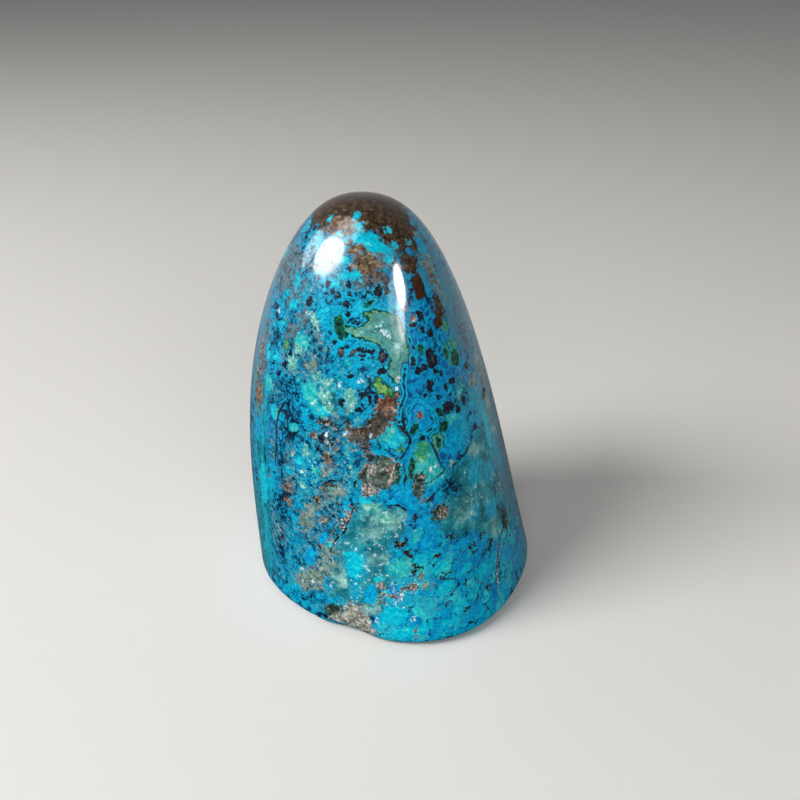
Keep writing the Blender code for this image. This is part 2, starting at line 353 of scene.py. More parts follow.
# Pockets of each mineral: right, up, half width, half height and, if turned, the turn.
POCKETS: dict[Mineral, tuple[tuple[float, ...], ...]] = {
    Mineral.NETWORK: (
        (38, 60, 4.6, 10, 5), (42, 50, 4.4, 3.6), (-14, 71.5, 6.5, 2.6), (-42, 76, 3.6, 6),
        (-6, 68.3, 2.6, 1.8), (60, 68, 3, 7), (-3, 60.6, 5, 1.4), (10, 59, 2, 2), (16, 38, 1.2, 4),
        (34, 20, 8, 3), (41, 42, 3.2, 3), (-120, 66, 8, 9), (110, 64, 9, 8), (-165, 70, 8, 5),
    ),
    Mineral.PLAIN: (
        (-19, 61.5, 2.2, 3.2), (-6, 63.4, 3.4, 0.9), (-3, 65.6, 1.6, 0.8), (-24, 67, 2, 1.6),
        (-30, 73.5, 1.6, 1.6), (28, 48.5, 3.4, 3), (-5, 59.2, 2, 0.7),
    ),
    Mineral.AZURE: (
        (40, 56, 8, 14), (30, 44, 7, 7), (62, 64, 6, 12), (16, 32, 5, 5), (-50, 42, 4, 7),
        (150, 56, 9, 12), (-110, 26, 9, 10),
    ),
    Mineral.BRECCIA: (
        (-27, 38, 10.5, 8.5, 8), (-14, 46.5, 6, 2.6, 15), (-30, 58, 6, 4),
        (-12, 57.5, 4.5, 1.4, -5), (-42, 66, 3, 8), (-56, 16, 8, 10), (-27, 25, 5, 4.4, 20),
        (-33, 7, 4, 3.4), (52, 49, 3.4, 2.6), (20, 32, 1.6, 3), (140, 62, 12, 9),
        (-128, 30, 14, 11), (160, 20, 9, 7, 20),
    ),
    Mineral.CHALCEDONY: (
        (-20, 52, 3.2, 2.2), (72, 50, 3, 5), (102, 43, 5, 7, 12), (112, 33, 4.4, 6, -20),
        (96, 31, 3, 5), (-146, 54, 6, 4.4, 30), (-158, 49, 4, 5, -20), (176, 40, 4.4, 4, 20),
        (-177, 33, 4, 6, -10), (168, 30, 2.6, 3.4),
    ),
    Mineral.TURQUOISE: (
        (128, 44, 5, 6, 20), (-164, 62, 6, 5), (-140, 12, 9, 7, 10), (24, 13, 13, 10, 8),
        (50, 10, 10, 9, 10), (4, 4.5, 6, 5), (100, 10, 16, 9), (-100, 52, 9, 10), (150, 6, 16, 6),
    ),
    Mineral.GLAZE: (
        (-64, 34, 3, 17, 2), (-72, 15, 5, 12), (-90, 20, 6, 14),
    ),
    Mineral.RUBBLE: (
        (-44, 32, 2.6, 6), (-52, 44, 1.6, 8), (-6, 44.5, 2, 1.4), (-30, 76, 4, 2, 10),
        (-54, 20, 3.6, 6), (60, 66, 2.4, 5), (54, 51, 2, 3), (150, 66, 8, 7), (-120, 34, 9, 7),
    ),
    Mineral.FROTH: (
        (-11, 18, 6, 6.6), (-1, 13.5, 4.6, 4.4), (2, 26, 3.4, 3.4), (-14, 9.6, 4.4, 1.6),
        (-30, 12, 2.4, 2.6), (8, 15.5, 2.6, 2.6), (44, 28, 3, 2.4), (66, 27, 1.4, 3.4),
        (102, 36, 5, 5), (-156, 48, 4, 4),
    ),
    Mineral.STREAKS: (
        (60, 70, 3, 8, 12), (67, 60, 3.5, 8, 10), (66, 70, 3.6, 9, 8), (74, 60, 5, 12, 10),
        (80, 46, 6, 12, 5), (82, 26, 6.5, 12, 5), (-84, 56, 6, 14), (-74, 72, 5, 6, -10),
        (-95, 32, 6, 12),
    ),
    Mineral.HAZE: (
        (47.5, 44, 1.9, 3.6), (66, 46, 2.4, 4), (70, 36, 2, 4), (62, 31, 2.6, 2), (50, 34, 2.6, 3),
        (44, 26.5, 1.8, 2), (58, 24, 3, 2.4), (75, 34, 1.6, 5), (-12.5, 18, 2.4, 4.4),
        (-14, 12, 1.2, 2.6), (4, 18, 2, 1.6), (106, 39, 1.6, 4, 20), (97, 35, 1, 2),
        (-140, 56, 1.6, 1.2), (-154, 47, 1.4, 2.6, -25), (-174, 36, 1.4, 3, 10),
    ),
    Mineral.MILK: (
        (4, 29, 3.4, 2), (-3, 26, 2, 1.4, 20), (-20, 15, 1.4, 3), (-8, 8.4, 2.4, 1),
        (-17, 6.5, 2, 1, 10), (-2, 20.5, 2, 1.2), (40, 28, 3, 2.4, 20), (52, 38.5, 1.4, 1.2, -10),
        (56, 19, 1.4, 2.4), (76, 40, 1.6, 5), (78, 51, 1.6, 3.6), (108, 44, 3, 3, 20),
        (98, 33, 2.2, 4, -10), (-146, 55, 2.6, 3), (174, 42, 2.6, 2.4, 30), (-178, 31, 2, 2.6),
    ),
    Mineral.DUST: (
        (-64, 73, 4, 5), (-50, 70, 1.6, 4), (-2, 73.5, 5, 1.6), (56, 74, 0.8, 2.4),
        (70, 60, 0.8, 3), (78, 50, 1.6, 3), (-68, 55, 1.6, 8), (-66, 46, 1.4, 4),
        (-46, 60, 1.8, 5), (-37, 66, 1.4, 1.4), (10, 77, 4, 3), (130, 74, 8, 6), (-110, 76, 7, 5),
        (-160, 44, 5, 4),
    ),
    Mineral.LIMONITE: (
        (30, 85, 10, 8.4), (18, 83.2, 8, 3.6), (44, 79.6, 4.4, 3.6, -10), (40, 75.5, 2, 2.4),
        (7, 75.8, 1.4, 2.4), (12, 73, 1.5, 2.8, 15), (52, 67, 1.2, 2.4), (170, 79, 10, 5),
        (150, 50, 3.5, 5, 25),
    ),
    Mineral.OLIVE: (
        (15.3, 14.3, 1, 0.6), (-22, 37.5, 1.2, 0.8), (-30, 57.6, 1.4, 0.9), (58, 75, 0.9, 2.4, 10),
        (60, 69, 0.5, 1.6, 8), (66, 50, 1.3, 1.4), (60, 79, 0.6, 1, 20), (-140, 18, 4, 3, 20),
    ),
    Mineral.OCHRE: (
        (3, 75.6, 2.4, 1.8), (-2, 78.4, 1.4, 0.8, 10), (-16, 81.6, 3.4, 1.4), (-34, 82, 1.6, 1.4),
        (-30, 77.5, 1.4, 1, 20), (-2, 79.4, 1.2, 0.6), (-34, 80.6, 1.3, 1), (-70, 57, 0.7, 3.2),
        (-70, 51.5, 0.8, 1.8), (-68, 48, 1.2, 2.6), (26, 68, 0.4, 2.4, -8), (-12.5, 51.6, 0.7, 1),
        (75, 46, 0.8, 1), (-20, 40.2, 0.8, 1.2, 10), (-26.5, 44.6, 0.7, 0.9, -10),
        (-45, 31, 0.6, 1), (57, 71, 0.6, 2.2, 8), (62, 51.5, 0.8, 0.7),
    ),
    Mineral.CYAN: (
        (-22, 80.4, 0.6, 0.5), (-31, 79, 0.5, 0.7), (-14, 79.6, 0.5, 0.4), (-27, 77, 0.7, 0.5),
        (-44, 82, 0.6, 0.6), (96, 70, 1.6, 2.4, 20), (118, 54, 2.4, 1.4, -20), (134, 40, 1.6, 2),
        (146, 24, 2.6, 1.6, 30), (170, 66, 2.6, 1.4, 15), (-172, 58, 1.6, 1.8),
        (-168, 22, 2.4, 1.8), (-150, 38, 1.2, 2.2, 20), (-132, 66, 2, 1.4, -30),
        (-122, 22, 1.8, 2.6), (-108, 62, 1.4, 2.6, 10), (-98, 44, 1.2, 2.4), (90, 18, 2, 1.4),
        (-8, 83, 0.5, 1.1), (-3, 81.6, 0.6, 0.8), (22, 76.5, 1, 0.9), (31, 80.6, 0.8, 0.6, -40),
        (48, 78.2, 0.6, 0.6), (-20, 72.6, 1.6, 0.8), (-14, 76.4, 0.9, 0.7),
        (4, 79.8, 2.2, 1.1, -10), (17, 78.3, 2.6, 1.1, -25), (31, 78.4, 1, 0.8),
        (-8, 74, 1.9, 0.9), (-72, 79.8, 1, 0.8), (-57, 78.5, 0.6, 1.4), (-85, 74, 0.8, 1.2),
        (-46, 79, 0.8, 1.2), (-50, 71.5, 0.5, 1.4, 25), (-48, 67.5, 0.7, 1.1, -20),
        (-55, 63, 0.9, 1), (-22, 49.8, 1.2, 0.8), (-62, 57, 0.7, 1.6, 20), (52, 58, 0.6, 0.6),
        (0.5, 7.6, 2.6, 2.2), (4, 3.4, 3, 1.5), (23.5, 13.2, 2.2, 1.3, 10), (28, 8, 1.6, 1.3),
        (22.5, 5, 2.5, 1.1), (11.5, 4.8, 1.2, 1.3), (41.5, 12.8, 1.6, 1.2, 20),
        (34, 15.6, 1.5, 1.1), (22, 17.8, 1.9, 1.1, 10), (14.5, 20, 1.6, 1), (-3, 15.9, 0.9, 0.6),
        (-26, 7.5, 0.9, 0.35, -10), (-4.5, 32.7, 1, 0.7), (-24, 21.3, 0.45, 1, -30),
        (-63, 28, 1.5, 5), (68, 40, 1.3, 5), (-36, 38.2, 0.9, 1.2, 10), (-43, 35, 1, 0.7),
        (-54, 57, 0.8, 1.2), (-53, 46, 0.9, 1.4),
    ),
    Mineral.TEAL: (
        (9, 46.6, 2, 1.2, 10), (142, 48, 2.2, 1.6, 25), (-130, 52, 1.6, 2.4, -10),
        (-112, 28, 1.8, 2), (158, 14, 2.4, 1.6), (-36, 61.5, 2, 1, -20), (52, 50.6, 1.5, 1),
        (42, 46.5, 1.8, 0.9), (-8, 59.3, 0.6, 0.5), (7, 18.5, 2.4, 2), (15, 25, 1, 1.4),
        (-39, 44.6, 1.2, 0.8, 20), (-27, 37.2, 1, 0.7), (-50, 46, 0.9, 1.3, -10),
        (-58, 51, 1, 1.6, 10),
    ),
    Mineral.MINT: (
        (-12, 64.9, 0.6, 0.5), (-29, 65.6, 0.8, 1.4, 25), (-21, 52.4, 1.3, 1.1, -20),
        (-17.5, 50.6, 1.1, 0.9), (-19, 55, 1.4, 0.5, 10), (-25, 56, 0.6, 1), (4, 29.5, 1.8, 1.6),
        (-1, 31.6, 2, 0.8, -12), (19, 35, 0.6, 1, 15), (37, 38.2, 0.5, 0.4),
        (-42, 57.4, 1, 1.6, 15), (-31.5, 41, 0.7, 1.1, -20), (-34, 33, 0.8, 0.6),
        (-38, 60, 0.9, 0.6),
    ),
    Mineral.GREEN: (
        (124, 50, 1.4, 2.6, 10), (-136, 46, 2.2, 1.2, 35), (160, 44, 1.2, 2), (-104, 54, 0.9, 2.2),
        (49.5, 58.6, 1.4, 2.2), (54.5, 58, 1.6, 2.8), (52.5, 62.8, 1, 1.4), (-47, 60, 0.6, 0.5),
    ),
    Mineral.MALACHITE: (
        (122, 47, 0.9, 1.2), (-138, 44.4, 1, 0.6, 30), (162, 46.4, 0.8, 0.6),
        (-164, 54, 0.6, 1.2, 20), (112, 60, 0.7, 1), (54, 56.8, 1.2, 1.7), (47.6, 58.4, 0.7, 1.1),
        (21, 46.7, 0.9, 0.45, 25), (36, 48.6, 1.3, 0.7, -40), (36, 45.8, 1, 1),
        (32, 60.8, 0.4, 0.8), (31.8, 43.2, 0.5, 1.1, 10), (5.5, 69.6, 1, 0.4, 30),
        (11, 38.5, 0.5, 2.2), (17.6, 39.2, 0.3, 1.6, -15), (-9.5, 64.2, 0.5, 0.4),
    ),
    Mineral.VUG: (
        (26.5, 29.4, 1.6, 1.6), (-23.5, 27, 1, 0.8), (128, 33, 3.6, 2, -35), (62, 54, 1, 0.8),
        (66, 18, 1.6, 2.4),
    ),
    Mineral.UMBER: (
        (-51, 17.5, 0.6, 0.6), (-20, 35, 1.6, 0.7), (-27.5, 31, 1, 0.5, 35), (-19, 43.6, 1, 0.5),
        (-20, 47.5, 1.6, 0.5), (75, 46, 1.2, 1), (154, 54, 2.6, 1.8, 30),
    ),
    Mineral.NAVY: (
        (-44, 58.5, 0.9, 2.8), (-56, 60, 0.7, 3), (-54, 47, 0.8, 2.6), (-38, 60, 1, 1.2),
        (-60, 36, 0.6, 2.6), (-47, 37, 0.8, 6), (-49, 26, 1.8, 4), (-36, 6.6, 2.6, 1.2),
        (-54, 13, 1.4, 2.6), (31, 46, 0.7, 0.5), (30, 49, 0.8, 0.35), (66, 20, 1.2, 3),
        (40, 43.6, 0.7, 0.6), (43.5, 41.5, 0.5, 0.7), (37.5, 40.4, 0.6, 0.4),
        (46.5, 16.4, 1.4, 0.7), (52.5, 10, 1, 2.2), (55, 49, 1, 1.4), (35, 22.5, 1.6, 0.6),
        (-115, 40, 3, 7, 10),
    ),
    Mineral.BLUE: (
        (-46.5, 45.7, 0.55, 0.7), (-43, 45.2, 0.45, 0.6), (43, 77, 0.8, 0.7), (60, 77, 1.2, 2),
        (48.5, 70, 0.5, 3.6), (35, 68, 0.7, 1.5), (11, 42.2, 1.9, 0.9), (41, 42, 2.6, 2.6),
        (-26.5, 22.6, 0.7, 1.7, -35), (-28, 27.6, 0.6, 0.8), (-21, 27, 0.6, 1, -30),
        (-33, 7.5, 1.2, 1), (16.5, 33, 1.6, 2), (19, 23.5, 2.6, 2), (33, 21, 2.2, 1, 12),
        (41.5, 16.8, 0.9, 0.9), (62, 11, 1.6, 2.6), (52.5, 6, 1.4, 1.2), (-67, 40, 1.2, 3),
    ),
    Mineral.DRUSE: (
        (8.6, 39, 0.5, 2, -10), (9, 14, 1.6, 0.8), (13.7, 16.3, 0.4, 0.9), (-3, 12.3, 0.8, 0.5),
        (-2.5, 14.3, 0.6, 0.5), (18.5, 35.6, 0.6, 0.5), (21.5, 37.4, 0.5, 0.4),
        (28.4, 29.6, 0.5, 1.2), (1.5, 12.2, 0.9, 0.4), (-26, 26.8, 0.8, 0.6),
    ),
    Mineral.CORE: (
        (104, 58, 0.9, 1.2), (109, 55, 0.5, 0.6), (116, 66, 0.9, 0.6, 20), (122, 60, 0.6, 1),
        (136, 52, 1, 0.7, 30), (147, 60, 0.8, 1.1), (166, 58, 1.1, 0.7, -20), (-176, 64, 0.8, 1),
        (-168, 46, 0.7, 0.9), (-126, 58, 0.9, 0.7, 20), (-118, 64, 0.8, 1.1),
        (-100, 66, 0.7, 1.2, 10), (36, 66.3, 0.5, 1, -15), (31, 65.2, 0.6, 0.4),
        (35.5, 64.2, 0.5, 0.5), (41, 63, 0.6, 0.9), (41.5, 60.8, 0.4, 0.8),
        (37.5, 58.7, 1.1, 2, 10), (27.5, 61.2, 0.4, 0.5), (26.5, 59.2, 0.45, 0.7),
        (28, 57, 0.5, 0.6), (32, 57.5, 0.4, 0.6), (38.5, 56.3, 0.6, 0.4), (41, 55.5, 0.4, 0.35),
        (33, 53.8, 0.6, 1), (30, 52.5, 0.5, 0.5), (42.5, 52.5, 0.5, 0.7), (44.5, 51, 0.5, 0.4),
        (37.5, 51.5, 0.8, 0.3), (41.5, 49, 1.2, 1), (47, 53, 1, 0.7), (47.5, 47.5, 0.5, 0.9),
        (53, 48.5, 0.7, 1), (-19.5, 64.2, 0.5, 0.6), (-15, 62.6, 0.4, 0.3), (-8, 67.5, 0.7, 0.5),
        (-9, 69.3, 0.7, 0.6), (-2, 66.3, 1, 0.4), (3, 70.8, 0.5, 0.4), (12, 71.5, 0.4, 1.2),
        (-11.5, 61.2, 0.8, 0.5), (-8, 62, 0.4, 0.4), (-5, 61, 0.6, 0.5), (0, 61.6, 0.7, 0.4),
        (5, 61.5, 0.5, 0.3), (10.5, 60.6, 0.6, 1.1), (9, 58, 0.8, 0.5), (-7, 56.8, 0.6, 0.4),
        (2.5, 52.6, 0.5, 1), (-3, 51, 0.5, 0.4), (-12.5, 51.8, 0.5, 0.8), (-24, 72.3, 0.4, 1),
        (-8, 72.7, 0.3, 0.4), (-20, 71, 0.6, 0.5), (-35, 68.6, 0.4, 0.6), (-62, 78.3, 0.5, 0.5),
        (-57, 80.3, 0.6, 0.5), (-44, 59, 0.4, 0.5), (-46.5, 56.3, 0.6, 0.9),
        (24.5, 44.6, 0.4, 0.3), (-13.5, 40.7, 0.4, 0.5), (-22, 44.2, 0.7, 0.7),
        (0, 41.2, 0.4, 0.6),
    ),
    Mineral.PIT: (
        (92, 14, 0.7, 0.5), (112, 20, 0.6, 0.8), (138, 14, 0.8, 0.5, 20), (164, 20, 0.6, 0.7),
        (-160, 26, 0.8, 0.5), (-144, 8, 0.6, 0.6), (-118, 14, 0.7, 0.5), (7.5, 24, 1, 0.8),
        (10, 21.8, 0.7, 0.8), (12.5, 18.5, 0.7, 0.9), (15, 28.7, 0.5, 0.9), (29.5, 23.3, 0.5, 0.6),
        (38, 19.3, 0.8, 0.7), (34.5, 18.6, 0.4, 0.6), (22.5, 20.2, 0.7, 0.4),
        (50.5, 17.3, 0.6, 0.6), (46, 20.5, 0.8, 0.4), (35.5, 14.2, 0.5, 0.4), (30, 6.4, 0.5, 0.4),
        (43, 8.5, 0.6, 0.5), (22.3, 15.8, 0.4, 0.4), (-9, 31.5, 0.5, 0.4), (-19, 24.3, 0.6, 0.4),
        (-42, 14, 0.6, 0.5),
    ),
    Mineral.RUST: (
        (129, 32, 1.2, 0.6, -35), (155, 53, 1.4, 0.8, 30), (-141, 32.4, 1.6, 0.8, -35),
        (-108, 46, 0.5, 0.9), (24.6, 49.3, 0.5, 0.6), (-16, 42.8, 0.35, 0.8), (-68, 47, 0.5, 0.8),
        (-3.5, 10.5, 0.6, 0.35, 25), (-5, 8.3, 0.7, 0.4), (8, 4, 0.3, 0.8), (-56.5, 31, 0.4, 0.4),
        (-44.5, 27.6, 0.4, 0.8), (20, 32.3, 0.4, 0.3), (38, 58.4, 0.4, 0.6),
        (-11.5, 61.2, 0.35, 0.2), (-5, 61, 0.25, 0.2), (10.5, 60.6, 0.25, 0.5),
        (31, 66.3, 0.5, 0.5),
    ),
    # The glints: small pale crystals, their near-white partly a painted highlight.
    Mineral.GLINT: (
        (-19.5, 43.8, 0.28, 0.56, 25), (-60, 65.5, 0.32, 0.56), (-33, 66.5, 0.4, 0.32),
        (-29, 65.6, 0.4, 0.72, 25), (-12.5, 55.2, 0.48, 0.28), (-21, 52.8, 0.36, 0.24),
        (-27, 50.8, 0.28, 0.24), (-18, 51.6, 0.24, 0.32), (10, 66, 0.72, 0.32, 30),
        (13.4, 64.4, 1.04, 0.6, -40), (18.5, 62, 0.24, 0.56), (17, 56.3, 0.28, 0.64),
        (16, 54.6, 0.24, 0.4), (-2, 56.2, 0.32, 0.24), (2, 14.4, 0.24, 0.88, 20),
        (5, 11.7, 0.13, 0.72), (4, 11.4, 0.4, 0.11), (8, 7, 0.32, 0.4), (-6.5, 5.8, 0.32, 0.48),
        (-41, 12.4, 0.48, 0.28, 30), (-36, 10.4, 0.4, 0.2, -40), (1.5, 47.8, 0.14, 0.2),
        (1.5, 46.2, 0.16, 0.12), (26.5, 40.4, 0.24, 0.4), (28, 38.6, 0.32, 0.32),
        (25, 38.4, 0.24, 0.24), (-26, 33.4, 0.24, 0.14), (-15, 22.8, 0.2, 0.2),
        (4, 25.6, 0.24, 0.24), (42.5, 35, 0.2, 0.24), (48, 31, 0.24, 0.2), (38, 29.5, 0.2, 0.2),
        (-30, 39, 0.16, 0.14, 20), (-35, 36, 0.12, 0.2, 10), (-23, 38.6, 0.18, 0.1),
    ),
}

# Seams of each mineral: the half width and the places that each runs through.
SEAMS: dict[Mineral, tuple[tuple[float, Outline], ...]] = {
    Mineral.CHANNEL: (
        (0.6, ((150, 74), (146, 66), (150, 58), (143, 50), (146, 42), (138, 34))),
        (0.5, ((143, 50), (136, 46), (130, 48), (127, 53))),
        (0.55, ((-128, 72), (-134, 62), (-130, 54), (-137, 46), (-132, 38))),
        (0.5, ((-137, 46), (-146, 43), (-152, 45))),
        (0.62, ((22, 58.5), (19.5, 56), (19.5, 53.5), (16, 51), (14.5, 48.5), (17, 46.2))),
        (0.5, ((17, 46.2), (20, 48), (19.5, 50.5), (24, 52), (29, 51), (32, 49), (33, 46.5))),
        (0.5, ((17, 46.2), (19, 44.8), (23, 45.6), (27, 45.6), (31, 46.4))),
        (0.5, ((24, 67.5), (26, 65), (26.5, 62.5), (27.5, 60.5))),
    ),
    Mineral.BLUE: (
        (
            1,
            (
                (18.5, 44), (16.8, 42), (15.2, 39.5), (14.5, 36.5), (14, 34), (11.5, 32.8),
                (7.5, 33),
            ),
        ),
        (0.7, ((18, 33), (20, 31), (20.5, 28), (22, 25))),
    ),
    Mineral.CLEFT: (
        (0.22, ((13.8, 48), (17, 46.2), (19, 44.8), (17, 43), (13.7, 41.6), (11.3, 41.5))),
        (0.2, ((17.3, 51), (17, 49), (16.8, 47.5), (19.3, 44.8))),
        (0.12, ((15.2, 41), (14.2, 39.6), (14.7, 38), (13.2, 36.6), (13.4, 35.2))),
        (
            0.2,
            (
                (13, 41.6), (9.6, 42.4), (8, 43.2), (5, 43.8), (3.6, 46.4), (7.6, 48.8),
                (12.4, 49.3), (15.4, 48.4),
            ),
        ),
        (0.17, ((6, 45.2), (8.6, 44.6), (9.4, 43.2))),
        (0.21, ((27, 44.8), (30, 40.8), (31.8, 37.2), (24.7, 35.9), (22, 35.8))),
        (0.25, ((21.7, 32.2), (23.7, 32.6), (25.5, 33.4), (28.5, 34))),
        (0.18, ((48.5, 39.5), (46.5, 38.8), (42, 38), (38, 37.7), (36.5, 37))),
        (0.22, ((-1, 45.4), (-1, 43.5), (0.5, 42), (2, 41.8))),
        (0.18, ((-8, 35.5), (-8, 36.5), (-4, 38), (-2, 39.2))),
        (0.2, ((4, 56), (1, 54.5), (-2, 52.8))), (0.18, ((3, 55), (1, 53.5))),
        (0.16, ((-24, 34.4), (-19, 36), (-14, 36.2))),
        (0.15, ((-9, 31.8), (-12, 28.5), (-15, 25.5), (-20, 23), (-24, 19.5))),
        (0.16, ((20, 15), (25, 14.8), (28.5, 13.8), (29, 12.8), (24.5, 11))),
        (0.13, ((29, 12.8), (34, 11), (36, 8), (35, 6))),
        (0.12, ((13.3, 6.5), (13.2, 3), (13.6, 0.5))),
        (0.2, ((5.5, 31.8), (7.5, 32.4), (10.5, 32), (12.5, 31))),
        (0.22, ((-45, 48.5), (-49, 46.5), (-50.5, 43), (-50.5, 39), (-52, 35))),
        (0.2, ((-47, 48), (-43, 46), (-42, 43))),
        (0.12, ((-56, 50), (-58, 44), (-57, 38), (-59, 30))),
        (0.14, ((-68, 30), (-70, 22), (-69, 15))), (0.14, ((62.5, 28), (62, 24), (62.5, 20))),
        (0.12, ((44, 16.5), (40, 14.5), (38, 10.5), (40, 6))),
        (0.17, ((57.5, 15.5), (53, 12.5), (50, 10), (48, 5))),
        (0.13, ((62.5, 28), (61, 22), (57, 19.5), (57.5, 15.5))),
        (0.13, ((57.5, 15.5), (62, 17), (67, 16.5))),
        (0.25, ((-150, 60), (-142, 48), (-150, 36), (-140, 22))),
        (0.2, ((120, 60), (128, 48), (124, 36), (132, 24))),
    ),
    Mineral.DRUSE: (
        (0.5, ((-10, 31), (-12.5, 29), (-14, 27.5), (-15.5, 26.4))),
        (-0.05, ((57, 14.7), (54, 12.5), (50, 9.7), (49, 5))),
    ),
    Mineral.OCHRE: (
        (0.35, ((-25, 0.8), (-17, 0.7), (-8, 0.6))),
    ),
    Mineral.DUST: (
        (0.5, ((-42.5, 43), (-42, 36), (-43, 31))),
    ),
}


# ---------------------------------------------------------------- the stone's body


@dataclass
class StoneForm:
    """The stone's shape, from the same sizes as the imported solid, in millimetres.

    `sections` lists, from the dome's top down, the height, the half width and how far
    the middle lies to the right. `foot_waves` lists (lobes, size, direction in degrees)
    of the plan's waves, which grow to the foot. `hollows` lists (right, up, half width,
    half height, turn, depth) of the larger vugs, and `chip` is the rough nick in the
    foot, as (right, half width, height, depth).
    """

    height: float = 85.0
    edge_radius: float = 2.6
    sections: tuple[tuple[float, float, float], ...] = (
        (85.0, 0.0, -3.2),
        (79.7, 10.8, -2.8),
        (67.8, 17.5, -2.7),
        (49.0, 23.3, -1.9),
        (27.8, 26.9, 0.1),
        (0.0, 29.9, 4.0),
    )
    oval: float = 0.03
    foot_waves: tuple[tuple[int, float, float], ...] = (
        (2, 0.015, -45.0),
        (3, 0.036, 39.0),
        (4, 0.015, 22.5),
    )
    hollows: tuple[tuple[float, ...], ...] = (
        (-9.0, 48.0, 4.6, 2.2, 48.0, 0.9),
        (11.5, 51.8, 2.6, 1.9, 25.0, 0.7),
        (-0.5, 41.0, 4.4, 3.6, 20.0, 1.1),
        (19.0, 41.5, 3.6, 4.6, -20.0, 0.6),
        (-20.5, 46.0, 1.8, 1.8, 0.0, 0.8),
        (93.0, 50.0, 2.6, 1.6, 0.0, 0.5),
        (-142.0, 33.0, 4.2, 2.4, -35.0, 0.8),
        (152.0, 54.0, 3.0, 2.2, 30.0, 0.6),
    )
    chip: tuple[float, float, float, float] = (-19.0, 7.0, 5.0, 0.8)

    def curves(self) -> tuple[Array, Array]:
        """Draw smooth curves through the sections.

        Returns:
            The half width and the shift to the right, as polynomials of the fall.
        """
        table = np.array(self.sections)
        fall = np.sqrt(1.0 - table[:, 0] / self.height)
        degree = len(self.sections) - 1
        return np.polyfit(fall, table[:, 1], degree), np.polyfit(fall, table[:, 2], degree)

    def place(self, right: Array, up: Array) -> Array:
        """Return points of the smooth body.

        Args:
            right: degrees to the right of the front.
            up: heights over the base, in millimetres.

        Returns:
            Points in millimetres, with x, y and z along the last axis.
        """
        half_width, shift = self.curves()
        azimuth = np.radians(np.asarray(right, float) - 90.0)
        up = np.asarray(up, float)
        fall = np.sqrt(np.clip(1.0 - up / self.height, 0.0, 1.0))
        drop = np.clip(self.edge_radius - up, 0.0, None) / self.edge_radius
        inset = self.edge_radius * (1.0 - np.sqrt(np.clip(1.0 - drop * drop, 0.0, 1.0)))
        plan = 1.0 + self.oval * np.cos(2.0 * azimuth)
        for lobes, size, direction in self.foot_waves:
            plan = plan + fall * size * np.cos(lobes * (azimuth - math.radians(direction)))
        radius = (np.polyval(half_width, fall) - inset) * plan
        x = np.polyval(shift, fall) + radius * np.cos(azimuth)
        return np.stack(np.broadcast_arrays(x, radius * np.sin(azimuth), up), axis=-1)

    def axes(self, right: float, up: float, turn: float) -> tuple[Array, Array, Array]:
        """Return a place on the skin and its across and along directions.

        Args:
            right: degrees to the right of the front.
            up: height over the base, in millimetres.
            turn: degrees that the directions are turned anticlockwise.

        Returns:
            The point, the unit vector across and the unit vector along.
        """
        step = 0.05
        point = self.place(right, up)
        azimuth = math.radians(right - 90.0)
        around = np.array([-math.sin(azimuth), math.cos(azimuth), 0.0])
        rise = self.place(right, min(up + step, self.height)) - self.place(right, up - step)
        rise = rise / np.linalg.norm(rise)
        lean = math.radians(turn)
        across = around * math.cos(lean) + rise * math.sin(lean)
        along = rise * math.cos(lean) - around * math.sin(lean)
        return point, across, along


def fade(distance: Array) -> Array:
    """Return 1 at a distance of 0, falling smoothly to 0 at a distance of 1."""
    return np.clip(1.0 - distance * distance, 0.0, 1.0) ** 2


def smooth_step(value: Array, low: float, high: float) -> Array:
    """Return 0 below low and 1 above high, with a smooth rise between."""
    share = np.clip((value - low) / (high - low), 0.0, 1.0)
    return share * share * (3.0 - 2.0 * share)


def ring_faces(rings: Array) -> list[tuple[int, ...]]:
    """Join rings of vertex numbers, listed from the lowest up.

    Args:
        rings: one row of vertex numbers for each ring.

    Returns:
        The quads between each ring and the next.
    """
    lower, upper = rings[:-1], rings[1:]
    corners = [lower, np.roll(lower, -1, axis=1), np.roll(upper, -1, axis=1), upper]
    return [tuple(quad) for quad in np.stack(corners, axis=-1).reshape(-1, 4).tolist()]


def away(points: Array, start: Array, end: Array) -> Array:
    """Measure how far points lie from the straight line between two others.

    Args:
        points: the points.
        start: where the line starts.
        end: where it ends.

    Returns:
        The distance of each point.
    """
    run = end - start
    share = np.clip((points - start) @ run / (run @ run), 0.0, 1.0)
    return np.linalg.norm(points - (start + share[:, None] * run), axis=1)


